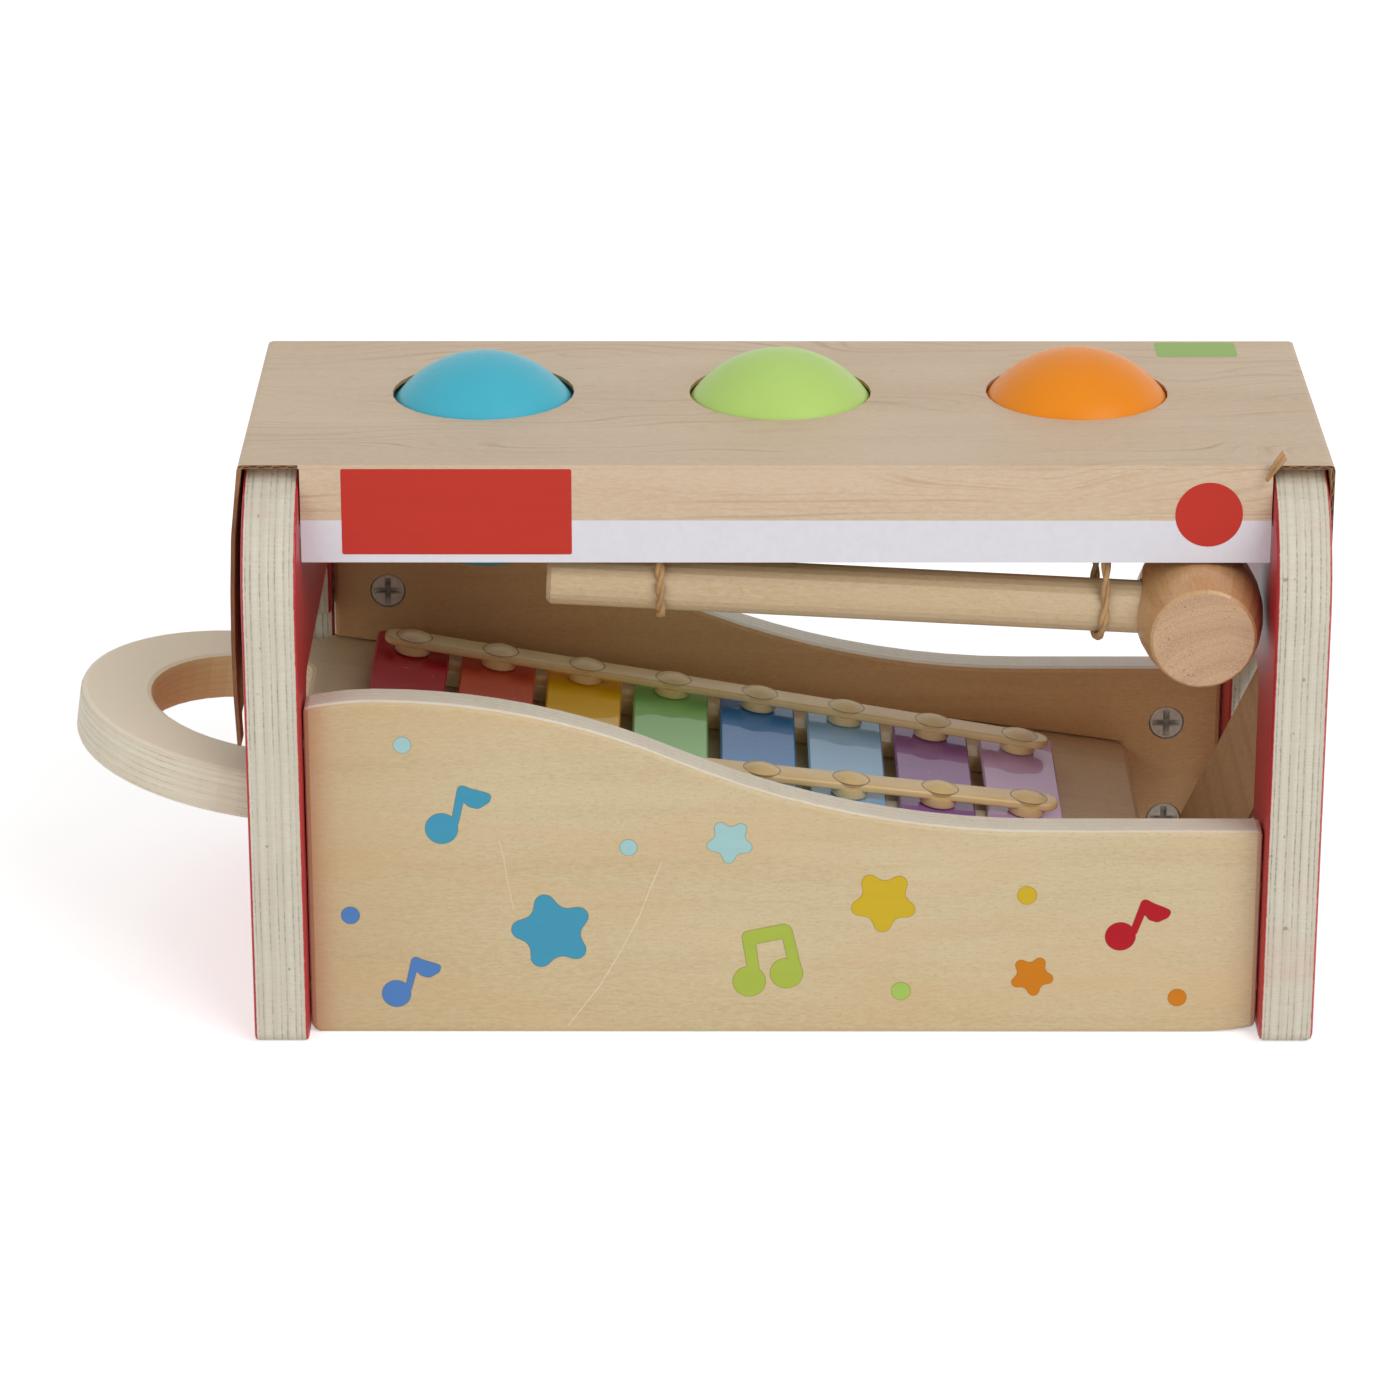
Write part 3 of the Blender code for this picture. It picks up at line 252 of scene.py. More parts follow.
# Wood: base, dark and light
WOOD = (rgb(200, 179, 140), rgb(186, 160, 117), rgb(213, 197, 161))
# Painted warm bounce light: the long panels' inner faces get this warmer wood, as if lit by light
# bounced inside the bench
BOUNCE_LIT_WOOD = (rgb(220, 172, 116), rgb(202, 147, 92), rgb(228, 190, 138))
BOARD_WOOD = (rgb(220, 192, 152), rgb(204, 168, 122), rgb(230, 208, 172))
MALLET_WOOD = (rgb(194, 168, 130), rgb(172, 142, 102), rgb(206, 183, 149))
HEAD_WOOD = (rgb(192, 146, 98), rgb(172, 122, 76), rgb(204, 164, 118))
PRINTED_WOOD = (rgb(207, 182, 153), rgb(192, 162, 131), rgb(216, 196, 169))


def ply_layers(shader, depth, run, ply):
    """The cut edge of plywood: layers across the thickness, thin broken glue lines, specks.

    depth goes from 0 to 1 across the sheet, and run is a vector that changes along it. It
    gives a colour and a height."""
    (pale, shade, line), lines = ply
    wobble = shader.noise(30, 4.0, 0.7, source=run)
    laid = shader.plus(depth, shader.span(wobble, 0.2, 0.8, -0.014, 0.014))
    stops = [(0.0, 0.0)]
    for place in lines:
        stops += [(place - 0.017, 0.0), (place - 0.008, 1.0), (place + 0.008, 1.0),
                  (place + 0.017, 0.0)]
    tones = shader.ramp(laid, [(place, grey(tone)) for place, tone in stops])
    dots = shader.noise(1150, 2.0, 0.6, source=run)
    gaps = shader.noise(60, 3.0, 0.6, source=run)
    keep = shader.times(shader.span(dots, 0.38, 0.60, 0.30, 1.0),
                        shader.span(gaps, 0.36, 0.58, 0.35, 1.0))
    glue = shader.times(shader.split(tones)[0], keep)
    layer = shader.noise(1, 0.0, source=shader.join(shader.times(laid, 9.0), 0.0, 0.0))
    cloud = shader.noise(75, 4.0, 0.65, source=run)
    saw = shader.noise((240, 160, 2300), 2.0, 0.6, source=run)
    color = shader.mix(shader.span(layer, 0.35, 0.65, 0.0, 0.6), pale, shade)
    color = shader.mix(shader.span(cloud, 0.42, 0.75, 0.0, 0.45), color, shade)
    color = shader.mix(shader.span(saw, 0.42, 0.70, 0.0, 0.45), color, shade)
    color = shader.mix(shader.times(glue, 0.58), color, line)
    speck = shader.noise((520, 520, 400), 1.0, source=run)
    color = shader.mix(shader.span(speck, 0.74, 0.80, 0.0, 0.55), color, line)
    return color, shader.minus(shader.times(cloud, 0.4), glue)


def sheet(shader, flat, edge, face, rough):
    """Finish a sheet: edge and face are a colour and a height each, and flat is 1 on a face."""
    shader.set(Base_Color=shader.mix(flat, edge[0], face[0]), Roughness=rough)
    return shader.set(Normal=shader.bump(shader.mix(flat, edge[1], face[1]), 0.00008, 0.5))


def red_panel(name, low, high, seed):
    """Red paint on both faces of a ply end panel, its edges left bare."""
    shader = Shader(name)
    depth = shader.level(0, low.x, high.x)
    edge, edge_height = ply_layers(shader, depth, shader.map(shift=(seed, seed, 0)), BENCH_PLY)
    clouds = shader.noise(40, 4.0, 0.6, shift=(seed, 0, 0))
    edge = shader.mix(shader.span(clouds, 0.56, 0.78, 0.0, 0.28), edge, rgb(214, 130, 118))
    fray = shader.span(shader.noise((1400, 500, 500), 3.0, 0.7), 0.3, 0.7, 0.0, 0.012)
    inward = shader.smaller(depth, shader.minus(1.0, depth))
    by_depth = shader.span(shader.minus(inward, fray), 0.034, 0.046, 1.0, 0.0)
    by_face = shader.span(shader.facing(0), 0.62, 0.70)
    painted = shader.larger(by_depth, by_face)
    brush = shader.noise((300, 300, 30), 3.0, 0.6)
    red = shader.mix(shader.span(brush, 0.35, 0.7, 0.0, 0.35), rgb(178, 26, 34), rgb(160, 24, 34))
    worn = shader.span(shader.noise(240, 5.0, 0.75), 0.60, 0.72)
    rim = shader.span(inward, 0.0, 0.10, 1.0, 0.0)
    rounding = shader.span(shader.facing(0), 0.99, 0.80, 0.0, 0.8)
    red = shader.mix(shader.times(worn, shader.times(rim, rounding)), red, rgb(224, 150, 138))
    shader.set(Base_Color=shader.mix(painted, edge, red))
    shader.set(Roughness=shader.mix(painted, grey(0.75), grey(0.42)))
    sawn = shader.bump(edge_height, 0.00012, 0.6)
    fine = shader.noise((500, 500, 90), 3.0, 0.6)
    return shader.set(Normal=shader.bump(fine, 0.00006, 0.5, sawn))


def long_panel(name, low, high, inward, seed):
    """Ply with its face grain along the bench. Its inner face is warmer, a painted warm bounce
    light, and its left end has a painted red bounce from the end panel and a painted shade.

    inward is 1 where the inner face looks to the rear and -1 where it looks to the front."""
    shader = Shader(name)
    depth = shader.level(1, low.y, high.y)
    edge = ply_layers(shader, depth, shader.map(shift=(seed, 0, seed)), LONG_PLY)
    face, height = wood_grain(shader, WOOD, seed=seed)
    # Painted warm bounce light on the inner face, as if lit by light bounced off the wood inside
    warm = wood_grain(shader, BOUNCE_LIT_WOOD, seed=seed + 0.4)[0]
    inner = shader.times(shader.split(shader.normal)[1], inward)
    face = shader.mix(shader.span(inner, 0.3, 0.6), face, warm)
    clouds = shader.noise((7, 9, 42), 3.0, 0.6, 1.2, shift=(seed, 0, 0))
    face = shader.mix(shader.span(clouds, 0.46, 0.72, 0.0, 0.50), face, rgb(210, 172, 126))
    along = shader.split(shader.point)[0]
    # Painted red bounce light from the red end panel, on the panel's left end
    painted_red_bounce = shader.span(along, low.x, low.x + 8 * MM, 0.42, 0.0, smooth=True)
    face = shader.mix(painted_red_bounce, face, rgb(198, 112, 84))
    # Painted shade darkening the panel towards its left end
    shade = shader.span(along, low.x, low.x + 45 * MM, 0.34, 0.0)
    face = shader.mix(shade, face, rgb(178, 146, 98))
    flat = shader.span(shader.facing(1), 0.60, 0.75)
    return sheet(shader, flat, edge, (face, height), 0.48)


def sloped_board(name):
    """The slide-out board: ply on a slope, with painted light: its handle outside the bench is
    paler, as lit, and its hole's wall has a painted warm bounce light.
    """
    shader = Shader(name)
    upright = Vector((math.sin(BOARD_SLOPE), 0, math.cos(BOARD_SLOPE)))
    low = min(upright.dot(vertex.co) for vertex in NODES["xylophone_board"].data.vertices)
    turn = (0, -BOARD_SLOPE, 0)
    laid = shader.map(turn=turn)
    depth = shader.span(shader.split(laid)[2], low, low + BOARD_THICK)
    edge, edge_height = ply_layers(shader, depth, laid, BOARD_PLY)
    face, height = wood_grain(shader, BOARD_WOOD, turn=turn, seed=0.3)
    x, y = shader.split(shader.point)[:2]
    # Painted light: the handle outside the bench is made paler on its faces and edges, as lit,
    # against the shaded board inside
    outside = shader.span(x, LEFT_HIGH.x, LEFT_LOW.x, 0.0, 0.9)
    face = shader.mix(outside, face, shader.mix(0.1, rgb(252, 242, 220), face))
    edge = shader.mix(shader.times(outside, 0.15), edge, rgb(250, 243, 226))
    handle_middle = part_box("xylophone_board")[0].x + HANDLE_RADIUS
    out = shader.dot(shader.join(shader.minus(x, handle_middle), y, 0.0), shader.normal)
    # Painted warm bounce light and shade on the wall of the handle's hole
    painted_hole_bounce = shader.times(outside, shader.span(out, -0.004, -0.012, 0.0, 0.75))
    edge = shader.mix(painted_hole_bounce, edge, rgb(228, 178, 104))
    flat = shader.span(shader.absolute(shader.dot(shader.normal, upright)), 0.55, 0.80)
    return sheet(shader, flat, (edge, edge_height), (face, height), 0.55)


def plain_ply(name, low, high):
    """The top board under the sleeve."""
    shader = Shader(name)
    edge = ply_layers(shader, shader.level(2, low.z, high.z), shader.map(), BENCH_PLY)
    flat = shader.span(shader.facing(2), 0.60, 0.75)
    return sheet(shader, flat, edge, wood_grain(shader, WOOD, seed=0.9), 0.6)


def printed_wood(shader):
    """The sleeve's printed maple, its growth lines laid on the flat sheet before folding."""
    x, y, z = shader.split(shader.point)
    seed = 0.2
    side = shader.over(shader.facing(0), 0.5)
    drop = shader.times(z, shader.minus(1.0, side))
    unfolded = shader.join(shader.plus(x, shader.times(z, side)), y, drop)
    color = wood_grain(shader, PRINTED_WOOD, figure=0.6, seed=seed, source=unfolded)[0]
    bend = shader.noise((4, 13, 13), 3.0, 0.55, shift=(seed, 0, 0), source=unfolded)
    across = shader.plus(shader.plus(y, drop), shader.times(bend, 0.13))
    gaps = shader.noise((14, 80, 80), 3.0, 0.6, shift=(0, seed, 0), source=unfolded)
    for pitch, low, share in ((1100, 0.80, 0.48), (2500, 0.70, 0.28)):
        wave = shader.sine(shader.times(across, pitch))
        lines = shader.times(shader.span(wave, low, 1.0), shader.span(gaps, 0.44, 0.66))
        color = shader.mix(shader.times(lines, share), color, rgb(168, 132, 100))
    return color


# Where the card is printed: the skin on its top, lips and flaps, and the lips' white band
TOP_SKIN = 0.4 * MM
LIP_SKIN = 1.4 * MM
FLAP_SKIN = 0.5 * MM
LIP_FOOT = 0.1
RIGHT_FLAP = 0.105
BAND_DROP = 12.9 * MM
KRAFT = (rgb(192, 148, 102), rgb(206, 164, 120))
CARD_CUT = (rgb(98, 66, 40), rgb(150, 110, 72))
# Painted shade in the hollows between the corrugated card's paper layers at its cut edges
CARD_FLUTE_SHADE = rgb(58, 38, 24)


def card(name):
    """Printed card: wood print outside, a white band on the lip, brown inside and at cuts."""
    shader = Shader(name)
    x, y, z = shader.split(shader.point)
    out_x, out_y, out_z = shader.split(shader.normal)
    top = shader.times(shader.over(z, SLEEVE_HIGH.z - TOP_SKIN), shader.over(out_z, 0.5))
    lip_zone = shader.times(shader.over(x, LEFT_HIGH.x), shader.under(x, RIGHT_LOW.x))
    lip_zone = shader.times(lip_zone, shader.over(z, LIP_FOOT))
    front = shader.times(shader.under(out_y, -0.3), shader.under(y, SLEEVE_LOW.y + LIP_SKIN))
    rear = shader.times(shader.over(out_y, 0.3), shader.over(y, SLEEVE_HIGH.y - LIP_SKIN))
    lip = shader.times(shader.larger(front, rear), lip_zone)
    left = shader.times(shader.under(out_x, -0.3), shader.under(x, LEFT_LOW.x - FLAP_SKIN))
    right = shader.times(shader.over(out_x, 0.3), shader.over(x, RIGHT_FLAP))
    printed = shader.larger(shader.larger(top, lip), shader.larger(left, right))
    band = shader.times(lip, shader.under(z, SLEEVE_HIGH.z - BAND_DROP))
    paper = shader.noise(500, 2.0)
    white = shader.mix(shader.span(paper, 0.3, 0.7), rgb(221, 219, 225), rgb(217, 215, 222))
    outside = shader.mix(band, printed_wood(shader), white)
    kraft = shader.mix(shader.span(shader.noise((60, 700, 700), 3.0, 0.6), 0.3, 0.7), *KRAFT)
    flutes = shader.span(shader.sine(shader.times(x, 2400)), 0.2, 1.0, 0.0, 0.10)
    kraft = shader.mix(flutes, kraft, CARD_CUT[0])
    under_skin = shader.smaller(shader.minus(SLEEVE_HIGH.z, z), shader.minus(SLEEVE_HIGH.x, x))
    off_middle = shader.minus(shader.times(under_skin, 1 / CARD_THICK), 0.5)
    wave = shader.times(shader.sine(shader.times(shader.plus(x, z), 1900)), 0.26)
    off_wave = shader.absolute(shader.minus(off_middle, wave))
    paper_here = shader.larger(shader.span(off_wave, 0.10, 0.18, 1.0, 0.0),
                               shader.span(shader.absolute(off_middle), 0.30, 0.36))
    layers = shader.span(shader.noise(300, 4.0, 0.7), 0.35, 0.65, 0.55, 1.0)
    # The cut edges: paper layers, with painted shade in the hollows between them
    edge = shader.mix(paper_here, CARD_FLUTE_SHADE, shader.mix(layers, *CARD_CUT))
    cut = shader.times(shader.over(shader.facing(1), 0.6), shader.minus(1.0, lip_zone))
    inner = shader.mix(cut, kraft, edge)
    shader.set(Base_Color=shader.mix(printed, inner, outside))
    shader.set(Roughness=shader.mix(printed, grey(0.85), grey(0.5)))
    return shader.set(Normal=shader.bump(paper, 0.00002, 0.35))


def satin_paint(name, color, dark):
    """Sprayed paint on a turned ball: satin, with a faint orange-peel skin."""
    shader = Shader(name)
    cloud = shader.noise(60, 3.0, 0.6)
    peel = shader.noise(900, 2.0)
    grain = shader.noise((90, 90, 900), 3.0, 0.6)
    tint = shader.mix(shader.span(cloud, 0.35, 0.75, 0.0, 0.35), color, dark)
    shader.set(Base_Color=shader.mix(shader.span(grain, 0.6, 0.8, 0.0, 0.12), tint, dark))
    shader.set(Roughness=shader.span(peel, 0.3, 0.7, 0.31, 0.44))
    shader.set(Normal=shader.bump(peel, 0.00003, 0.35), Specular_IOR_Level=0.22)
    return shader.set(Coat_Weight=0.10, Coat_Roughness=0.32)


def enamel(name, color, dark):
    """Thick glossy enamel on a metal key: it pools a little and waves in the light."""
    shader = Shader(name)
    pool = shader.noise((28, 55, 55), 2.0, 0.5, 0.8)
    ripple = shader.noise((260, 420, 420), 2.0)
    dust = shader.noise(1300, 1.0)
    tint = shader.mix(shader.span(pool, 0.3, 0.8, 0.0, 0.4), color, dark)
    shader.set(Base_Color=shader.mix(shader.span(dust, 0.74, 0.78, 0.0, 0.3), tint, WHITE))
    shader.set(Normal=shader.bump(ripple, 0.00004, 0.5, shader.bump(pool, 0.0006, 0.5)))
    return shader.set(Roughness=0.35, Coat_Weight=0.5, Coat_Roughness=0.02, Specular_IOR_Level=0.12)


def moulded(name, color=rgb(230, 202, 148), dark=rgb(220, 189, 132)):
    """Cream moulded plastic, a little waxy."""
    shader = Shader(name)
    cloud = shader.noise(80, 3.0, 0.6)
    skin = shader.noise(1100, 2.0)
    shader.set(Base_Color=shader.mix(shader.span(cloud, 0.3, 0.75), color, dark))
    shader.set(Roughness=shader.span(skin, 0.3, 0.7, 0.30, 0.42))
    shader.set(Normal=shader.bump(skin, 0.00002, 0.3))
    return shader.set(Subsurface_Weight=0.08, Subsurface_Scale=0.002)


def rubber(name):
    """Black rubber with a fine dull skin."""
    shader = Shader(name)
    grain = shader.noise(900, 3.0, 0.6)
    shader.set(Base_Color=shader.mix(grain, rgb(26, 25, 25), rgb(48, 46, 45)))
    return shader.set(Roughness=0.7, Normal=shader.bump(grain, 0.00005, 0.4))


def dull_metal(name, color, dark, rough, metal, mouth=None):
    """Metal with a dull, scratched skin, with painted shade darkening its recesses away from its
    mouth.
    """
    shader = Shader(name)
    grain = shader.noise(900, 4.0, 0.7)
    scratch = shader.noise((200, 3000, 3000), 2.0, 0.6)
    tint = shader.mix(shader.span(grain, 0.3, 0.7), color, dark)
    if mouth is not None:
        # Painted shade: darker the deeper into the recess, away from the mouth
        deep = shader.absolute(shader.minus(shader.split(shader.point)[1], mouth))
        tint = shader.mix(shader.span(deep, 0.25 * MM, 1.1 * MM, 0.0, 0.60), tint, rgb(84, 78, 72))
    shader.set(Base_Color=tint)
    shader.set(Roughness=shader.span(scratch, 0.3, 0.7, rough - 0.08, rough + 0.1))
    return shader.set(Normal=shader.bump(grain, 0.00006, 0.5), Metallic=metal)


def handle_wood(name):
    """Turned pale wood, its grain along the tied-up handle."""
    shader = Shader(name)
    turn = (-MALLET_ROLL, -MALLET_DIP, 0)
    face, height = wood_grain(shader, MALLET_WOOD, turn=turn, figure=0.7, seed=1.7)
    return shader.set(Base_Color=face, Roughness=0.45, Normal=shader.bump(height, 0.00006, 0.5))


# The head's end faces: how far the tree's middle is from the head's, and the pale rim
PITH_ACROSS = 0.006
PITH_BELOW = 0.021
RIM_START = 13.6 * MM
RIM_FULL = 14.4 * MM


def head_wood(name):
    """The head's grain runs from face to face, so its faces show end grain."""
    shader = Shader(name)
    face, height = wood_grain(shader, HEAD_WOOD, along_y=True, figure=0.9, seed=2.2)
    x, y, z = shader.split(shader.map(shift=tuple(-(HEAD_LOW + HEAD_HIGH) / 2)))
    radius = shader.length(shader.join(shader.minus(x, PITH_ACROSS), 0.0,
                                       shader.plus(z, PITH_BELOW)))
    wander = shader.noise((60, 10, 60))
    bent = shader.plus(radius, shader.times(wander, 0.006))
    ends = rgb(188, 150, 112)
    for pitch, low, share in ((820, -0.2, 0.30), (3300, 0.1, 0.18)):
        rings = shader.sine(shader.times(bent, pitch))
        ends = shader.mix(shader.span(rings, low, 1, 0.0, share), ends, rgb(160, 116, 82))
    pores = shader.noise((2900, 200, 2900), 2.0, 0.6)
    crowd = shader.noise((130, 10, 130), 1.0, shift=(0.7, 0, 0))
    dots = shader.plus(shader.noise((2400, 100, 2400), 0.0),
                       shader.span(crowd, 0.45, 0.65, -0.06, 0.05))
    ends = shader.mix(shader.span(pores, 0.50, 0.72, 0.0, 0.38), ends, rgb(232, 206, 174))
    ends = shader.mix(shader.span(dots, 0.77, 0.81, 0.0, 0.65), ends, rgb(104, 66, 40))
    rim = shader.span(shader.length(shader.join(x, 0.0, z)), RIM_START, RIM_FULL, 0.0, 0.7)
    ends = shader.mix(rim, ends, rgb(226, 196, 160))
    flat = shader.span(shader.facing(1), 0.88, 0.95)
    shader.set(Base_Color=shader.mix(flat, face, ends))
    shader.set(Roughness=0.42, Coat_Weight=0.45, Coat_Roughness=0.16)
    return shader.set(Normal=shader.bump(shader.mix(flat, height, pores), 0.00006, 0.5))


def kraft_twine(name):
    """Twisted brown paper."""
    shader = Shader(name)
    fibre = shader.noise((600, 600, 3200), 3.0, 0.7)
    cloud = shader.noise(200, 3.0, 0.6)
    color = shader.mix(shader.span(cloud, 0.3, 0.7), rgb(186, 146, 98), rgb(150, 110, 68))
    color = shader.mix(shader.span(fibre, 0.3, 0.8, 0.0, 0.4), color, rgb(206, 172, 124))
    return shader.set(Base_Color=color, Roughness=0.8, Normal=shader.bump(fibre, 0.0001, 0.6))


def print_ink(name, color, dark):
    """Silk-screened ink: flat, with the grain just showing through. Colours are 0 to 255."""
    shader = Shader(name)
    streak = shader.noise((20, 420, 420), 4.0, 0.6)
    fine = shader.noise((90, 2400, 2400), 2.0, 0.6)
    tint = shader.mix(shader.span(streak, 0.35, 0.75, 0.0, 0.5), rgb(*color), rgb(*dark))
    shader.set(Base_Color=tint, Roughness=0.42, Specular_IOR_Level=0.25)
    return shader.set(Normal=shader.bump(fine, 0.00004, 0.4))


def give(material, *names):
    """Put a material on CAD nodes that keep their shape."""
    for name in names:
        for slot in NODES[name].material_slots:
            slot.material = material
        if not NODES[name].material_slots:
            NODES[name].data.materials.append(material)


# Meshes

def mesh_piece(name, data, materials, body, *nodes, slot=None, smooth=True):
    """Finish a mesh being built as a piece that rides on a body."""
    bmesh.ops.recalc_face_normals(data, faces=data.faces)
    mesh = bpy.data.meshes.new(name)
    data.to_mesh(mesh)
    data.free()
    for material in materials:
        mesh.materials.append(material)
    if smooth:
        mesh.shade_smooth()
    piece = put(name, mesh)
    if nodes:
        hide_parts(*nodes)
    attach(piece, body)
    return piece


def turns(steps):
    """The angles of a circle's points."""
    return [2 * math.pi * step / steps for step in range(steps)]


def join_rings(data, rings, ends=False):
    """Faces from each closed ring of points to the next, and across both ends if asked."""
    count = len(rings[0])
    for ring, on in zip(rings, rings[1:]):
        for place in range(count):
            after = (place + 1) % count
            data.faces.new((ring[place], ring[after], on[after], on[place]))
    if ends:
        data.faces.new(rings[0][::-1])
        data.faces.new(rings[-1])


# Flat printed shapes

def polar(centre, out, turn):
    return centre[0] + out * math.cos(turn), centre[1] + out * math.sin(turn)


def circle(centre, radius):
    return [polar(centre, radius, turn) for turn in turns(48)]


def rectangle(left, low, right, high):
    return [(left, low), (right, low), (right, high), (left, high)]


def rounded(corners, radii, steps=8):
    """A closed outline with each corner rounded by its own radius."""
    outline = []
    count = len(corners)
    for index, corner in enumerate(corners):
        here = Vector(corner)
        before = (Vector(corners[index - 1]) - here).normalized()
        after = (Vector(corners[(index + 1) % count]) - here).normalized()
        half = before.angle(after) / 2
        radius = radii[index % len(radii)]
        reach = radius / math.tan(half)
        centre = here + (before + after).normalized() * (radius / math.sin(half))
        start = here + before * reach - centre
        end = here + after * reach - centre
        sweep = start.angle_signed(end)
        for step in range(steps + 1):
            outline.append(tuple(centre + Matrix.Rotation(-sweep * step / steps, 2) @ start))
    return outline


def star(centre, reach, degrees):
    """A plump five-pointed star with wide round tips."""
    first = math.radians(degrees)
    corners = [polar(centre, reach * (0.62 if index % 2 else 1.36), first + math.pi * index / 5)
               for index in range(10)]
    return rounded(corners, [reach * 0.24, reach * 0.35])


# A note's stem and flag, from its head's middle, for a head of this radius
NOTE_HEAD = 3.7
NOTE_STEM = ((2.3, 1.4), (3.7, 9.0), (4.1, 11.0), (7.0, 9.8), (9.6, 9.1), (11.7, 8.4),
             (11.0, 6.6), (8.6, 5.0), (6.4, 5.5), (5.1, 6.9), (3.4, -0.6))
NOTE_ROUND = (0.3, 6.0, 1.1, 3.0, 3.0, 0.9, 1.2, 1.6, 1.4, 0.35, 0.8)


def note(head, radius, degrees):
    """A single note: a round head, a leaning stem and a broad flag."""
    scale = radius / NOTE_HEAD
    spin = Matrix.Rotation(math.radians(degrees), 2)
    corners = [tuple(Vector(head) + spin @ (Vector(point) * scale)) for point in NOTE_STEM]
    return [circle(head, radius), rounded(corners, [size * scale for size in NOTE_ROUND], 5)]


# The joined notes' stems and beam, in millimetres on the panel
BEAM = ((13.7, 15.2), (16.2, 15.2), (15.25, 22.35), (21.5, 23.7), (22.9, 17.4), (25.75, 15.8),
        (23.1, 27.5), (12.1, 25.1))
BEAM_ROUND = (0.3, 0.3, 0.3, 0.3, 0.3, 0.5, 2.0, 1.5)

# The front panel's print, in millimetres on the panel: a colour and its shapes
MOTIFS = {
    "teal": ((64, 150, 182), [*note((-55.4, 50.6), 3.6, 0), star((-30.75, 25.35), 9.3, 104)]),
    "pale": ((162, 202, 203), [circle((-63.9, 70.8), 1.9), circle((-13.4, 46.0), 1.9),
                               star((9.4, 47.45), 5.3, 51)]),
    "blue": ((78, 126, 190), [circle((-76.4, 29.3), 2.0), *note((-66.35, 9.9), 3.2, -2)]),
    "green": ((168, 186, 72), [circle((13.9, 13.0), 3.65), circle((22.35, 15.05), 3.65),
                               rounded(BEAM, BEAM_ROUND)]),
    "leaf": ((164, 196, 92), [circle((48.4, 10.6), 2.1)]),
    "yellow": ((206, 174, 36), [circle((76.6, 34.3), 2.1), star((44.2, 32.75), 7.5, 52)]),
    "orange": ((204, 122, 12), [circle((111.3, 9.0), 2.0), star((78.1, 14.4), 4.9, 61)]),
    "red": ((176, 8, 28), note((97.95, 24.2), 3.35, -7)),
}
MOTIF_RIM = 0.17
SCRATCHES = (
    (0.16, ((-5.9, 42.4), (-8.6, 35.8), (-10.9, 29.4), (-15.4, 20.2), (-20.0, 12.0),
            (-27.4, 1.9))),
    (0.12, ((-42.5, 47.8), (-41.5, 43.4), (-41.0, 39.2), (-39.4, 30.6))),
)


def strip(points, width):
    """A thin line as a closed outline."""
    points = [Vector(point) for point in points]
    left, right = [], []
    for index, here in enumerate(points):
        way = (points[min(index + 1, len(points) - 1)] - points[max(index - 1, 0)]).normalized()
        side = Vector((-way.y, way.x)) * width / 2
        left.append(tuple(here + side))
        right.append(tuple(here - side))
    return left + right[::-1]


def outset(outline, gap):
    """The outline moved outwards by a gap."""
    points = [Vector(point) for point in outline]
    count = len(points)
    area = sum(points[index - 1].cross(points[index]) for index in range(count))
    grown = []
    for index, here in enumerate(points):
        way = (points[(index + 1) % count] - points[index - 1]).normalized()
        out = Vector((way.y, -way.x)) * (1 if area > 0 else -1)
        grown.append(tuple(here + out * gap))
    return grown


def flat_piece(name, groups, place, normal, thickness):
    """Thin printed shapes on a face of the bench.

    groups pairs outlines in millimetres with an ink, and place turns a flat point into space."""
    data = bmesh.new()
    for index, (shapes, ink) in enumerate(groups):
        for order, shape in enumerate(shapes):
            outline = [(across * MM, up * MM) for across, up in shape]
            lift = thickness * (1 + 0.15 * order)
            tops = [data.verts.new(place(point) + normal * lift) for point in outline]
            feet = [data.verts.new(place(point) + normal * thickness * 0.1) for point in outline]
            faces = []
            for triangle in tessellate_polygon([[Vector((*point, 0)) for point in outline]]):
                faces.append(data.faces.new([tops[corner] for corner in triangle]))
            count = len(outline)
            for corner in range(count):
                after = (corner + 1) % count
                faces.append(data.faces.new((feet[corner], feet[after], tops[after],
                                             tops[corner])))
            for face in faces:
                face.material_index = index
    mesh_piece(name, data, [ink for shapes, ink in groups], "bench", smooth=False)


def on_front(depth):
    """Places on an upright face that looks to the front."""
    return lambda point: Vector((point[0], depth, point[1]))


FORWARD = Vector((0, -1, 0))
UPWARD = Vector((0, 0, 1))


def make_motifs():
    """Printed stars, notes and dots on the front panel, each with its thin dark rim."""
    inks, rims = [], []
    for name, (color, outlines) in MOTIFS.items():
        inks.append((outlines, print_ink("ink_" + name, color, [value * 0.96 for value in color])))
        brown = [value * 0.55 + warm * 0.35 for value, warm in zip(color, (196, 150, 90))]
        rims.append(([outset(outline, MOTIF_RIM) for outline in outlines],
                     print_ink("rim_" + name, brown, [value * 0.95 for value in brown])))
    scratch = print_ink("scratch", (226, 214, 186), (216, 200, 168))
    lines = [strip(points, width) for width, points in SCRATCHES]
    on_panel = on_front(FRONT_LOW.y)
    flat_piece("front_print", inks, on_panel, FORWARD, 0.06 * MM)
    flat_piece("front_print_rims", rims, on_panel, FORWARD, 0.03 * MM)
    flat_piece("front_scratches", [(lines, scratch)], on_panel, FORWARD, 0.01 * MM)


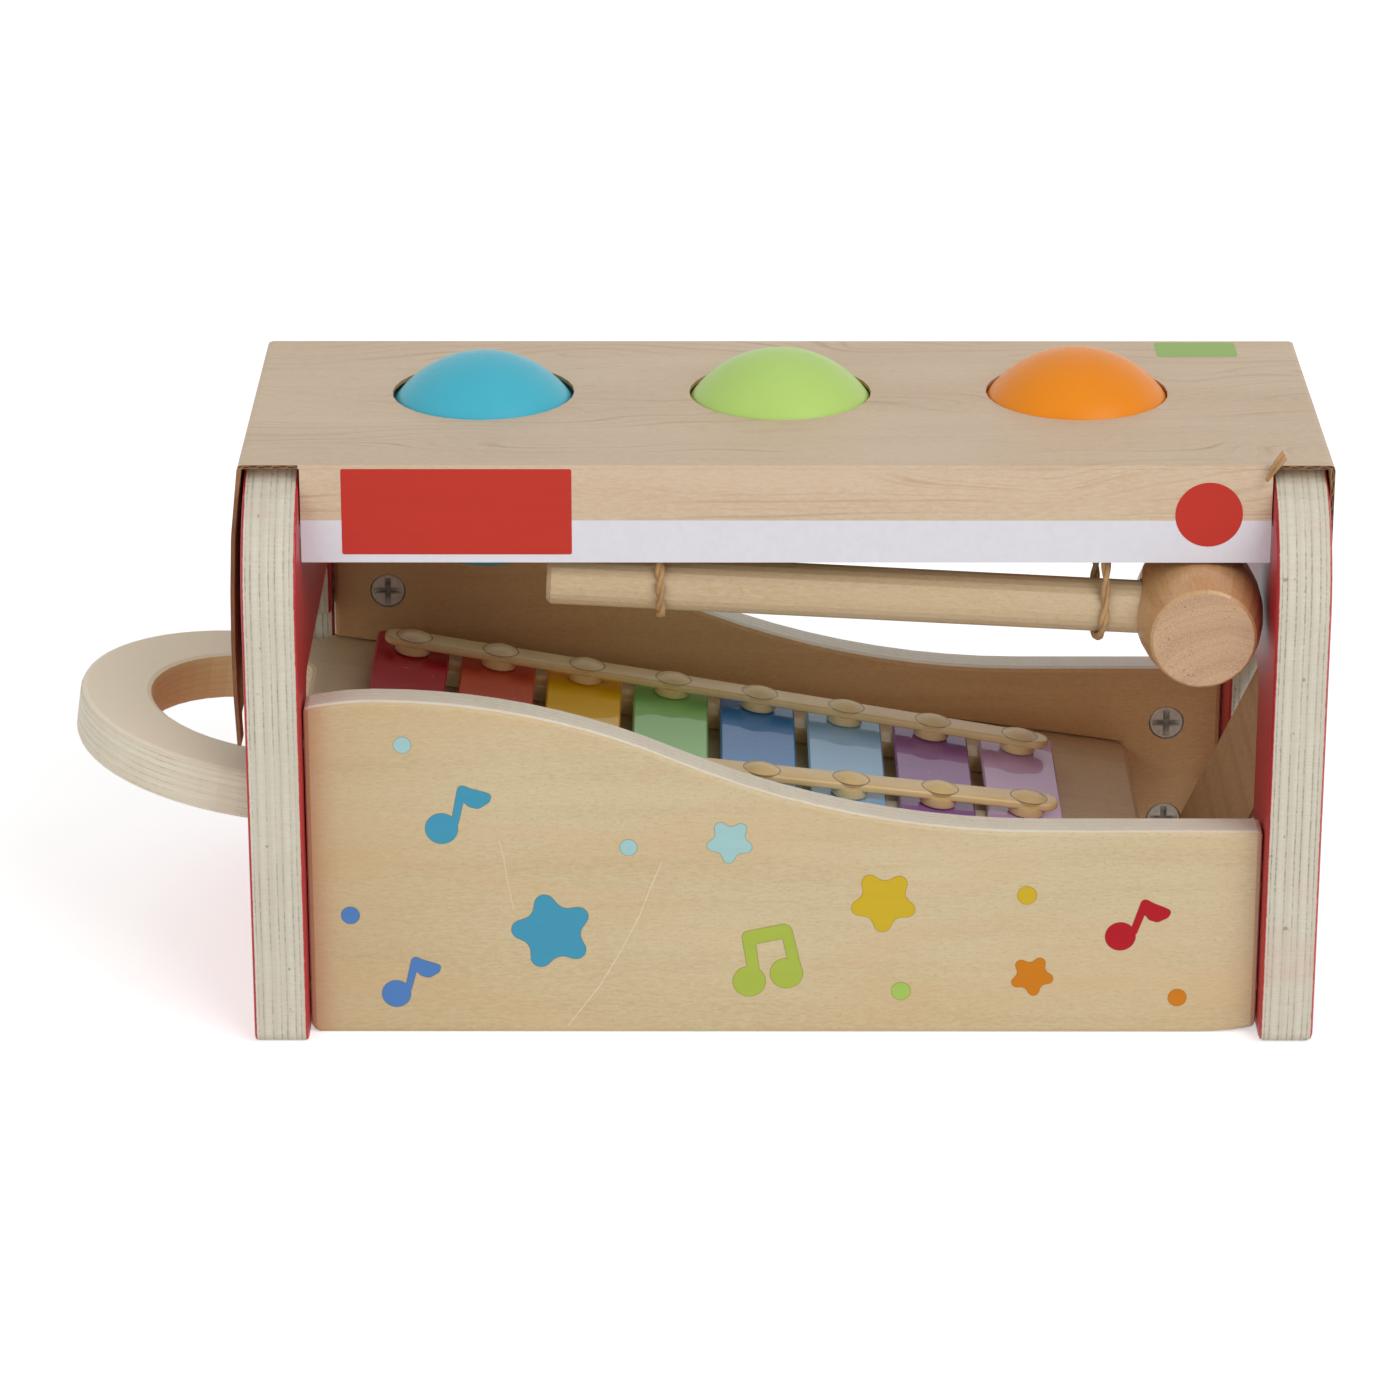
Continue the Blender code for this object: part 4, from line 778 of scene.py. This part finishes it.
def make_patches():
    """Plain printed patches on the card sleeve."""
    red = print_ink("patch_red", (190, 48, 34), (184, 44, 30))
    green = print_ink("patch_green", (150, 184, 94), (143, 177, 89))
    top = SLEEVE_HIGH.z / MM
    label = rounded(rectangle(-76.8, top - 20.9, -25.75, top - 0.9), [0.5])
    disc = circle((115.5, top - 11.5), 7.5)
    badge = rounded(rectangle(109.8, 32.5, 128.8, 43.4), [1.2])
    flat_piece("front_patches", [([label, disc], red)], on_front(SLEEVE_LOW.y), FORWARD,
               0.05 * MM)
    flat_piece("top_patch", [([badge], green)],
               lambda point: Vector((*point, SLEEVE_HIGH.z)), UPWARD, 0.05 * MM)


# Twine

def distances(points):
    """How far along a route each of its points is."""
    steps = np.linalg.norm(np.diff(points, axis=0), axis=1)
    return np.concatenate([[0], np.cumsum(steps)])


def smooth_route(points, spacing):
    """The route drawn again with evenly spaced points on a soft curve."""
    points = np.array(points, float)
    along = distances(points)
    even = np.linspace(0, along[-1], max(8, int(along[-1] / spacing)))
    route = np.stack([np.interp(even, along, points[:, axis]) for axis in range(3)], axis=1)
    for _ in range(3):
        route[1:-1] = (route[:-2] + 2 * route[1:-1] + route[2:]) / 4
    return route


def side_ways(route):
    """A steady pair of side directions at each point of a route."""
    ways = np.gradient(route, axis=0)
    ways /= np.linalg.norm(ways, axis=1)[:, None]
    side = np.cross(ways[0], [0.3, 0.2, 0.9])
    side /= np.linalg.norm(side)
    sides = []
    for way in ways:
        side = side - way * side.dot(way)
        side /= np.linalg.norm(side)
        sides.append(side.copy())
    sides = np.array(sides)
    return sides, np.cross(ways, sides)


def tube(data, route, radius, steps):
    """A closed tube along a route."""
    rings = [[data.verts.new(centre + (side * math.cos(turn) + up * math.sin(turn)) * radius)
              for turn in turns(steps)] for centre, side, up in zip(route, *side_ways(route))]
    join_rings(data, rings, ends=True)


# A tie's paper twine: its radius, each ply's share of that, and where its twist starts
TIE_RADIUS = 1.12 * MM
PLY_SHARE = 0.56
TWIST_START = 0.8
# A tie's loop under the handle, in half turns, and its strands' distance from the middle above
LOOP_START = 0.93
LOOP_TURN = 1.14
TIE_APART = 2.5 * MM
# Each tie: how far the front strand's top and foot are moved along the handle, and its pitch
TIES = {"left": (0.2 * MM, 0.3 * MM, 9 * MM), "right": (-1.1 * MM, -2.7 * MM, 13 * MM)}


def twisted(data, route, pitch):
    """Two plies wound round each other along a route."""
    sides, ups = side_ways(route)
    ply = TIE_RADIUS * PLY_SHARE
    shift = TIE_RADIUS - ply
    for lead in (0, 0.5):
        turn = TWIST_START + 2 * math.pi * (distances(route) / pitch + lead)
        path = (route + sides * (np.cos(turn) * shift)[:, None]
                + ups * (np.sin(turn) * shift)[:, None])
        tube(data, path, ply, 7)


def tie_route(node, at_top, at_foot):
    """Down in front of the handle, under it, and up behind it."""
    low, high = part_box(node)
    across = (low.x + high.x) / 2
    middle = (low.y + high.y) / 2
    radius = (high.y - low.y) / 2 - TWINE_RADIUS
    centre = low.z + TWINE_RADIUS + radius
    steps = 24
    points = [(across + at_top, middle - TIE_APART, high.z)]
    for step in range(steps + 1):
        turn = math.pi * (LOOP_START + LOOP_TURN * step / steps)
        down = min(1.0, 2 * step / steps)
        points.append((across + at_top * (1 - down) + at_foot * down,
                       middle + radius * math.cos(turn), centre + radius * math.sin(turn)))
    points.append((across + at_foot, middle + TIE_APART, high.z))
    return points


# The creased paper's section: across and deep, as shares of its half width
CREASES = ((-1.0, 0.0), (-0.55, -0.30), (-0.12, 0.10), (0.02, 0.42), (0.16, 0.10),
           (0.60, -0.34), (1.0, -0.06))


def folded_strip(data, start, stop, across, inward, half_width, thickness):
    """A flattened, creased strip of paper that widens towards its slanting cut end."""
    rings = []
    steps = 14
    for step in range(steps + 1):
        share = step / steps
        width = half_width * (0.34 + 0.66 * min(1.0, share / 0.7) ** 0.8)
        centre = start.lerp(stop, share) + across * math.sin(share * 2.6) * half_width * 0.25
        ring = []
        for side, order in ((0, CREASES), (1, CREASES[::-1])):
            for place, deep in order:
                slant = (stop - start) * (0.09 * place if step == steps else 0.0)
                ring.append(data.verts.new(centre + slant + across * place * width
                                           + inward * (deep * width + side * thickness)))
        rings.append(ring)
    join_rings(data, rings)
    last = len(rings[0]) - 1
    for ring in (rings[0], rings[-1]):
        for place in range(len(CREASES) - 1):
            data.faces.new((ring[place], ring[place + 1], ring[last - 1 - place],
                            ring[last - place]))


def make_twine():
    """Twisted paper ties and a folded loose end in place of the plain ones."""
    paper = kraft_twine("paper_twine")
    for side, (at_top, at_foot, pitch) in TIES.items():
        node = "twine_tie_" + side
        data = bmesh.new()
        twisted(data, smooth_route(tie_route(node, at_top, at_foot), 0.35 * MM), pitch)
        mesh_piece("tie_" + side, data, [paper], "bench", node, slot="twine")
    low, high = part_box("twine_end")
    start = Vector((low.x - 0.2 * MM, low.y + 0.5 * MM, low.z + 2.0 * MM))
    stop = Vector((high.x - 2.0 * MM, low.y + 1.3 * MM, high.z - 1.6 * MM))
    inward = -FORWARD
    across = (stop - start).normalized().cross(inward).normalized()
    data = bmesh.new()
    folded_strip(data, start, stop, across, inward, 1.05 * MM, 0.2 * MM)
    mesh_piece("loose_end", data, [paper], "bench", "twine_end", slot="twine")


# Turned and moulded pieces

def turned(data, profile, centre, axis, steps):
    """Add a solid turned about an axis; its profile's two ends lie on that axis."""
    axis = Vector(axis).normalized()
    side = axis.orthogonal().normalized()
    up = axis.cross(side)
    centre = Vector(centre)
    ways = [side * math.cos(turn) + up * math.sin(turn) for turn in turns(steps)]
    rings = [[data.verts.new(centre + axis * along + way * radius) for way in ways]
             for along, radius in profile[1:-1]]
    join_rings(data, rings)
    for ring, end in ((rings[0], profile[0]), (rings[-1], profile[-1])):
        tip = data.verts.new(centre + axis * end[0])
        for step in range(steps):
            data.faces.new((ring[step], ring[(step + 1) % steps], tip))


# Each ball's paint, its colour and a darker one, and the radius of its flats
BALL_PAINTS = {
    "blue": ((74, 184, 206), (62, 172, 198)), "green": ((184, 216, 116), (170, 204, 102)),
    "orange": ((240, 142, 18), (230, 128, 12)),
}
BALL_FLAT = 1.6 * MM


def make_balls():
    """Turned balls, with the lathe's small flats at their sides."""
    steps = 40
    first = math.asin(BALL_FLAT / BALL_RADIUS)
    turns = [first + (math.pi - 2 * first) * step / steps for step in range(steps + 1)]
    profile = [(-BALL_RADIUS * math.cos(turn), BALL_RADIUS * math.sin(turn)) for turn in turns]
    profile = [(profile[0][0], 0.0)] + profile + [(profile[-1][0], 0.0)]
    for name, (color, dark) in BALL_PAINTS.items():
        paint = satin_paint(name + "_satin", rgb(*color), rgb(*dark))
        low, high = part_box("ball_" + name)
        data = bmesh.new()
        turned(data, profile, (low + high) / 2, (1, 0, 0), 80)
        mesh_piece("turned_ball_" + name, data, [paint], "ball_" + name, "ball_" + name)


def bar(data, start, stop, half, low, high, edge):
    """A bar with round ends and soft edges, lying flat."""
    way = (stop - start).normalized()
    side = Vector((-way.y, way.x))
    levels = []
    for step in range(6):
        turn = math.pi / 2 * step / 5
        levels.append((edge * (1 - math.sin(turn)), low + edge * (1 - math.cos(turn))))
    levels += [(inset, high + low - level) for inset, level in levels[::-1]]
    rings = []
    for inset, level in levels:
        ring = []
        for centre, facing in ((stop, way), (start, -way)):
            for step in range(17):
                turn = math.pi * (step / 16 - 0.5)
                out = facing * math.cos(turn) + (side if facing == way else -side) * math.sin(turn)
                point = centre + out * (half - inset)
                ring.append(data.verts.new((point.x, point.y, level)))
        rings.append(ring)
    join_rings(data, rings, ends=True)


# The key rails, in millimetres up from the board's slope. Profiles pair a height with a radius.
RAIL_DATUM = 57.9 * MM
KEYS = 8
KEY_FIRST = 19.5
KEY_PITCH = 20.8
ROW_MIDDLE = -2.5
ROW_REACH = 30.5
ROW_TAPER = 11.0
BAR_END = 3.4
BAR_SIZE = (3.6, 8.15, 10.2, 0.7)
DOME_MIDDLE = 3.58
DOME_RADIUS = 7.77
DOME = [(DOME_MIDDLE + math.sqrt(DOME_RADIUS ** 2 - out ** 2), out)
        for out in (3.9, 3.5, 3.0, 2.4, 1.6, 0.8)]
CAP = [(9.6, 0), (9.6, 4.1), (10.05, 4.15), (10.24, 4.08), *DOME, (11.35, 0)]
COLLAR = [(6.3, 0), (6.3, 3.85), (6.42, 4.1), (6.7, 4.25), (8.6, 4.25), (8.6, 0)]
# A thin dark disc under each cap: a painted shadow ring round the dome
SEAM_SHADOW = [(10.1, 0), (10.1, 4.42), (10.21, 4.42), (10.21, 0)]
PIN = [(1.7, 0), (1.7, 1.3), (2.0, 1.6), (7.0, 1.6), (7.0, 0)]


def make_rails():
    """The key rails as mouldings: a soft bar with a domed cap, a collar and a pin at each key, and
    a painted shadow ring round each cap.
    """
    cream = moulded("cream_moulding")
    # Dark cream for the painted shadow rings round the domes
    shadow = moulded("cream_seam_shadow", rgb(164, 130, 86), rgb(150, 116, 74))
    slope = Matrix.Translation((LEFT_HIGH.x, 0, RAIL_DATUM)) @ Matrix.Rotation(
        BOARD_SLOPE, 4, "Y") @ Matrix.Scale(MM, 4)
    for side, way in (("front", -1), ("rear", 1)):
        studs = [Vector((KEY_FIRST + KEY_PITCH * key,
                         way * (ROW_REACH - ROW_TAPER * key / (KEYS - 1)) + ROW_MIDDLE))
                 for key in range(KEYS)]
        data = bmesh.new()
        end = (studs[-1] - studs[0]).normalized() * BAR_END
        bar(data, studs[0] - end, studs[-1] + end, *BAR_SIZE)
        for stud in studs:
            for profile, steps in ((CAP, 48), (COLLAR, 48), (PIN, 20)):
                turned(data, profile, (*stud, 0), UPWARD, steps)
        # Painted shadow rings round the domes, in the dark cream
        shadow_start = len(data.faces)
        for stud in studs:
            turned(data, SEAM_SHADOW, (*stud, 0), UPWARD, 48)
        data.faces.ensure_lookup_table()
        for face in data.faces[shadow_start:]:
            face.material_index = 1
        data.transform(slope)
        rail = mesh_piece("moulded_rail_" + side, data, [cream, shadow], "xylophone",
                          "top_rail_" + side)
        rail.data.set_sharp_from_angle(angle=SHARP)


# The cam locks, in millimetres: the face, its soft rim, and the cross in it
CAM_RADIUS = 4.0
CAM_EASE = 0.25
CROSS_DEPTH = 1.5
ARM_HALF = 0.50
ARM_WALL = 0.22
ARM_LENGTH = 3.3
ARM_FULL = 1.0
ARM_END_SHARE = 0.25


def cross_depth(across, up):
    """How deep the cross is at a point, from 0 to 1: its arms taper to their ends."""
    deepest = 0.0
    for along, aside in ((abs(across), abs(up)), (abs(up), abs(across))):
        wall = 1 - min(1.0, max(0.0, (aside - ARM_HALF) / ARM_WALL))
        end = 1 - min(1.0, max(0.0, (along - ARM_FULL) / (ARM_LENGTH - ARM_FULL)))
        arm = ARM_END_SHARE + (1 - ARM_END_SHARE) * end if along < ARM_LENGTH else 0.0
        deepest = max(deepest, wall * arm)
    return deepest


def cast_cam(node, mouth, back, cast):
    """One cam lock, with its face at the depth mouth and its foot at the depth back."""
    low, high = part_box(node)
    middle = (low + high) / 2
    into = math.copysign(1, back - mouth)
    rings, steps = 26, 72
    data = bmesh.new()

    def place(across, up, deep):
        return data.verts.new((middle.x + across * MM, mouth + into * deep * MM,
                               middle.z + up * MM))

    rows = []
    for ring in range(1, rings + 1):
        radius = CAM_RADIUS * ring / rings
        row = []
        for turn in turns(steps):
            across, up = polar((0, 0), radius, turn)
            ease = max(0.0, radius - CAM_RADIUS + CAM_EASE) * 0.8
            row.append(place(across, up, CROSS_DEPTH * cross_depth(across, up) + ease))
        rows.append(row)
    rows.append([place(*polar((0, 0), CAM_RADIUS, turn), abs(back - mouth) / MM)
                 for turn in turns(steps)])
    centre = place(0, 0, CROSS_DEPTH)
    join_rings(data, rows)
    for step in range(steps):
        data.faces.new((rows[0][step], centre, rows[0][(step + 1) % steps]))
    data.faces.new(rows[-1])
    piece = mesh_piece("cast_" + node, data, [cast], "bench", node)
    piece.data.set_sharp_from_angle(angle=SHARP)


def make_cams():
    """Cast cam locks with cross recesses, set in the long panels."""
    for side, face in (("front", 1), ("rear", 0)):
        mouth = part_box("cam_" + side + "_left_low")[face].y
        cast = dull_metal("cast_zinc_" + side, rgb(216, 209, 197), rgb(192, 184, 171), 0.4, 0.1,
                          mouth)
        for node in [name for name in NODES if name.startswith("cam_" + side)]:
            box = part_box(node)
            cast_cam(node, box[face].y, box[1 - face].y, cast)


# Light and floor

def seen_directly(nodes):
    """1 for rays of the camera, of reflections and through clear things, 0 for the rest."""
    path = nodes.node("LightPath", {}).outputs
    seen = nodes.larger(path["Is Camera Ray"], path["Is Glossy Ray"])
    return nodes.larger(seen, path["Is Transmission Ray"])


def make_light(name, place, target, size, power):
    lamp = bpy.data.lights.new(name, "AREA")
    lamp.shape = "RECTANGLE"
    lamp.size, lamp.size_y = size
    lamp.energy = power
    holder = put(name, lamp)
    holder.location = place
    way = Vector(target) - holder.location
    holder.rotation_euler = way.to_track_quat("-Z", "Y").to_euler()


def make_world():
    """White where it is seen, and dimmer as a light."""
    world = bpy.data.worlds.new("studio")
    bpy.context.scene.world = world
    world.use_nodes = True
    nodes = Nodes(world.node_tree)
    back = nodes.tree.nodes["Background"].inputs
    nodes.feed(back["Color"], WHITE)
    nodes.feed(back["Strength"], nodes.span(seen_directly(nodes), 0.0, 1.0, WORLD_LEVEL, 1.0))


def make_floor():
    """Pale, and glowing a little where it is seen, so that it renders white."""
    shader = Shader("floor_white")
    shader.set(Base_Color=shader.mix(shader.noise(3, 2.0), grey(0.86), grey(0.88)))
    shader.set(Roughness=0.9, Emission_Color=WHITE)
    shader.set(Emission_Strength=shader.times(seen_directly(shader), FLOOR_GLOW))
    mesh = bpy.data.meshes.new("floor")
    corners = rectangle(-FLOOR_REACH, -FLOOR_REACH, FLOOR_REACH, FLOOR_REACH)
    mesh.from_pydata([(*corner, 0) for corner in corners], [], [(0, 1, 2, 3)])
    mesh.materials.append(shader.material)
    floor = put("floor", mesh)


# Dressing the model

# Each key's enamel: its colour and where it pools
KEY_PAINTS = {
    "red": ((200, 34, 50), (172, 24, 42)), "coral": ((226, 92, 60), (202, 72, 46)),
    "yellow": ((255, 198, 10), (240, 176, 6)), "green": ((150, 212, 122), (126, 194, 102)),
    "blue": ((66, 136, 204), (50, 114, 184)), "sky": ((152, 198, 236), (130, 180, 222)),
    "purple": ((154, 104, 166), (132, 82, 146)), "lilac": ((208, 168, 210), (190, 148, 194)),
}


def dress_nodes():
    give(red_panel("painted_ply_left", LEFT_LOW, LEFT_HIGH, 0.0), "end_panel_left")
    give(red_panel("painted_ply_right", RIGHT_LOW, RIGHT_HIGH, 0.6), "end_panel_right")
    give(long_panel("front_ply", *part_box("front_panel"), 1, 0.0), "front_panel")
    give(long_panel("rear_ply", *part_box("rear_panel"), -1, 0.5), "rear_panel")
    top_ply = plain_ply("top_ply", *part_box("top_board"))
    give(top_ply, "top_board", *[name for name in NODES if name.startswith("dowel")])
    give(sloped_board("board_ply"), "xylophone_board")
    give(card("printed_card"), "card_sleeve")
    give(handle_wood("handle_wood"), "mallet_handle")
    give(head_wood("head_wood"), "mallet_head")
    give(rubber("black_rubber"), "grip_ring_blue", "grip_ring_green", "grip_ring_orange")
    give(moulded("cream_plastic"), "base_rail_front", "base_rail_rear")
    for name, (color, dark) in KEY_PAINTS.items():
        give(enamel("enamel_" + name, rgb(*color), rgb(*dark)), "key_" + name)
    steel = dull_metal("plated_steel", rgb(200, 200, 198), rgb(160, 160, 158), 0.32, 0.85)
    give(steel, *[name for name in NODES if name.startswith(("bolt", "rail_screw"))])


make_camera()
make_world()
make_floor()
for lamp in LAMPS:
    make_light(*lamp)
dress_nodes()
make_motifs()
make_patches()
make_twine()
make_balls()
make_rails()
make_cams()

bpy.context.scene.view_settings.view_transform = "Standard"
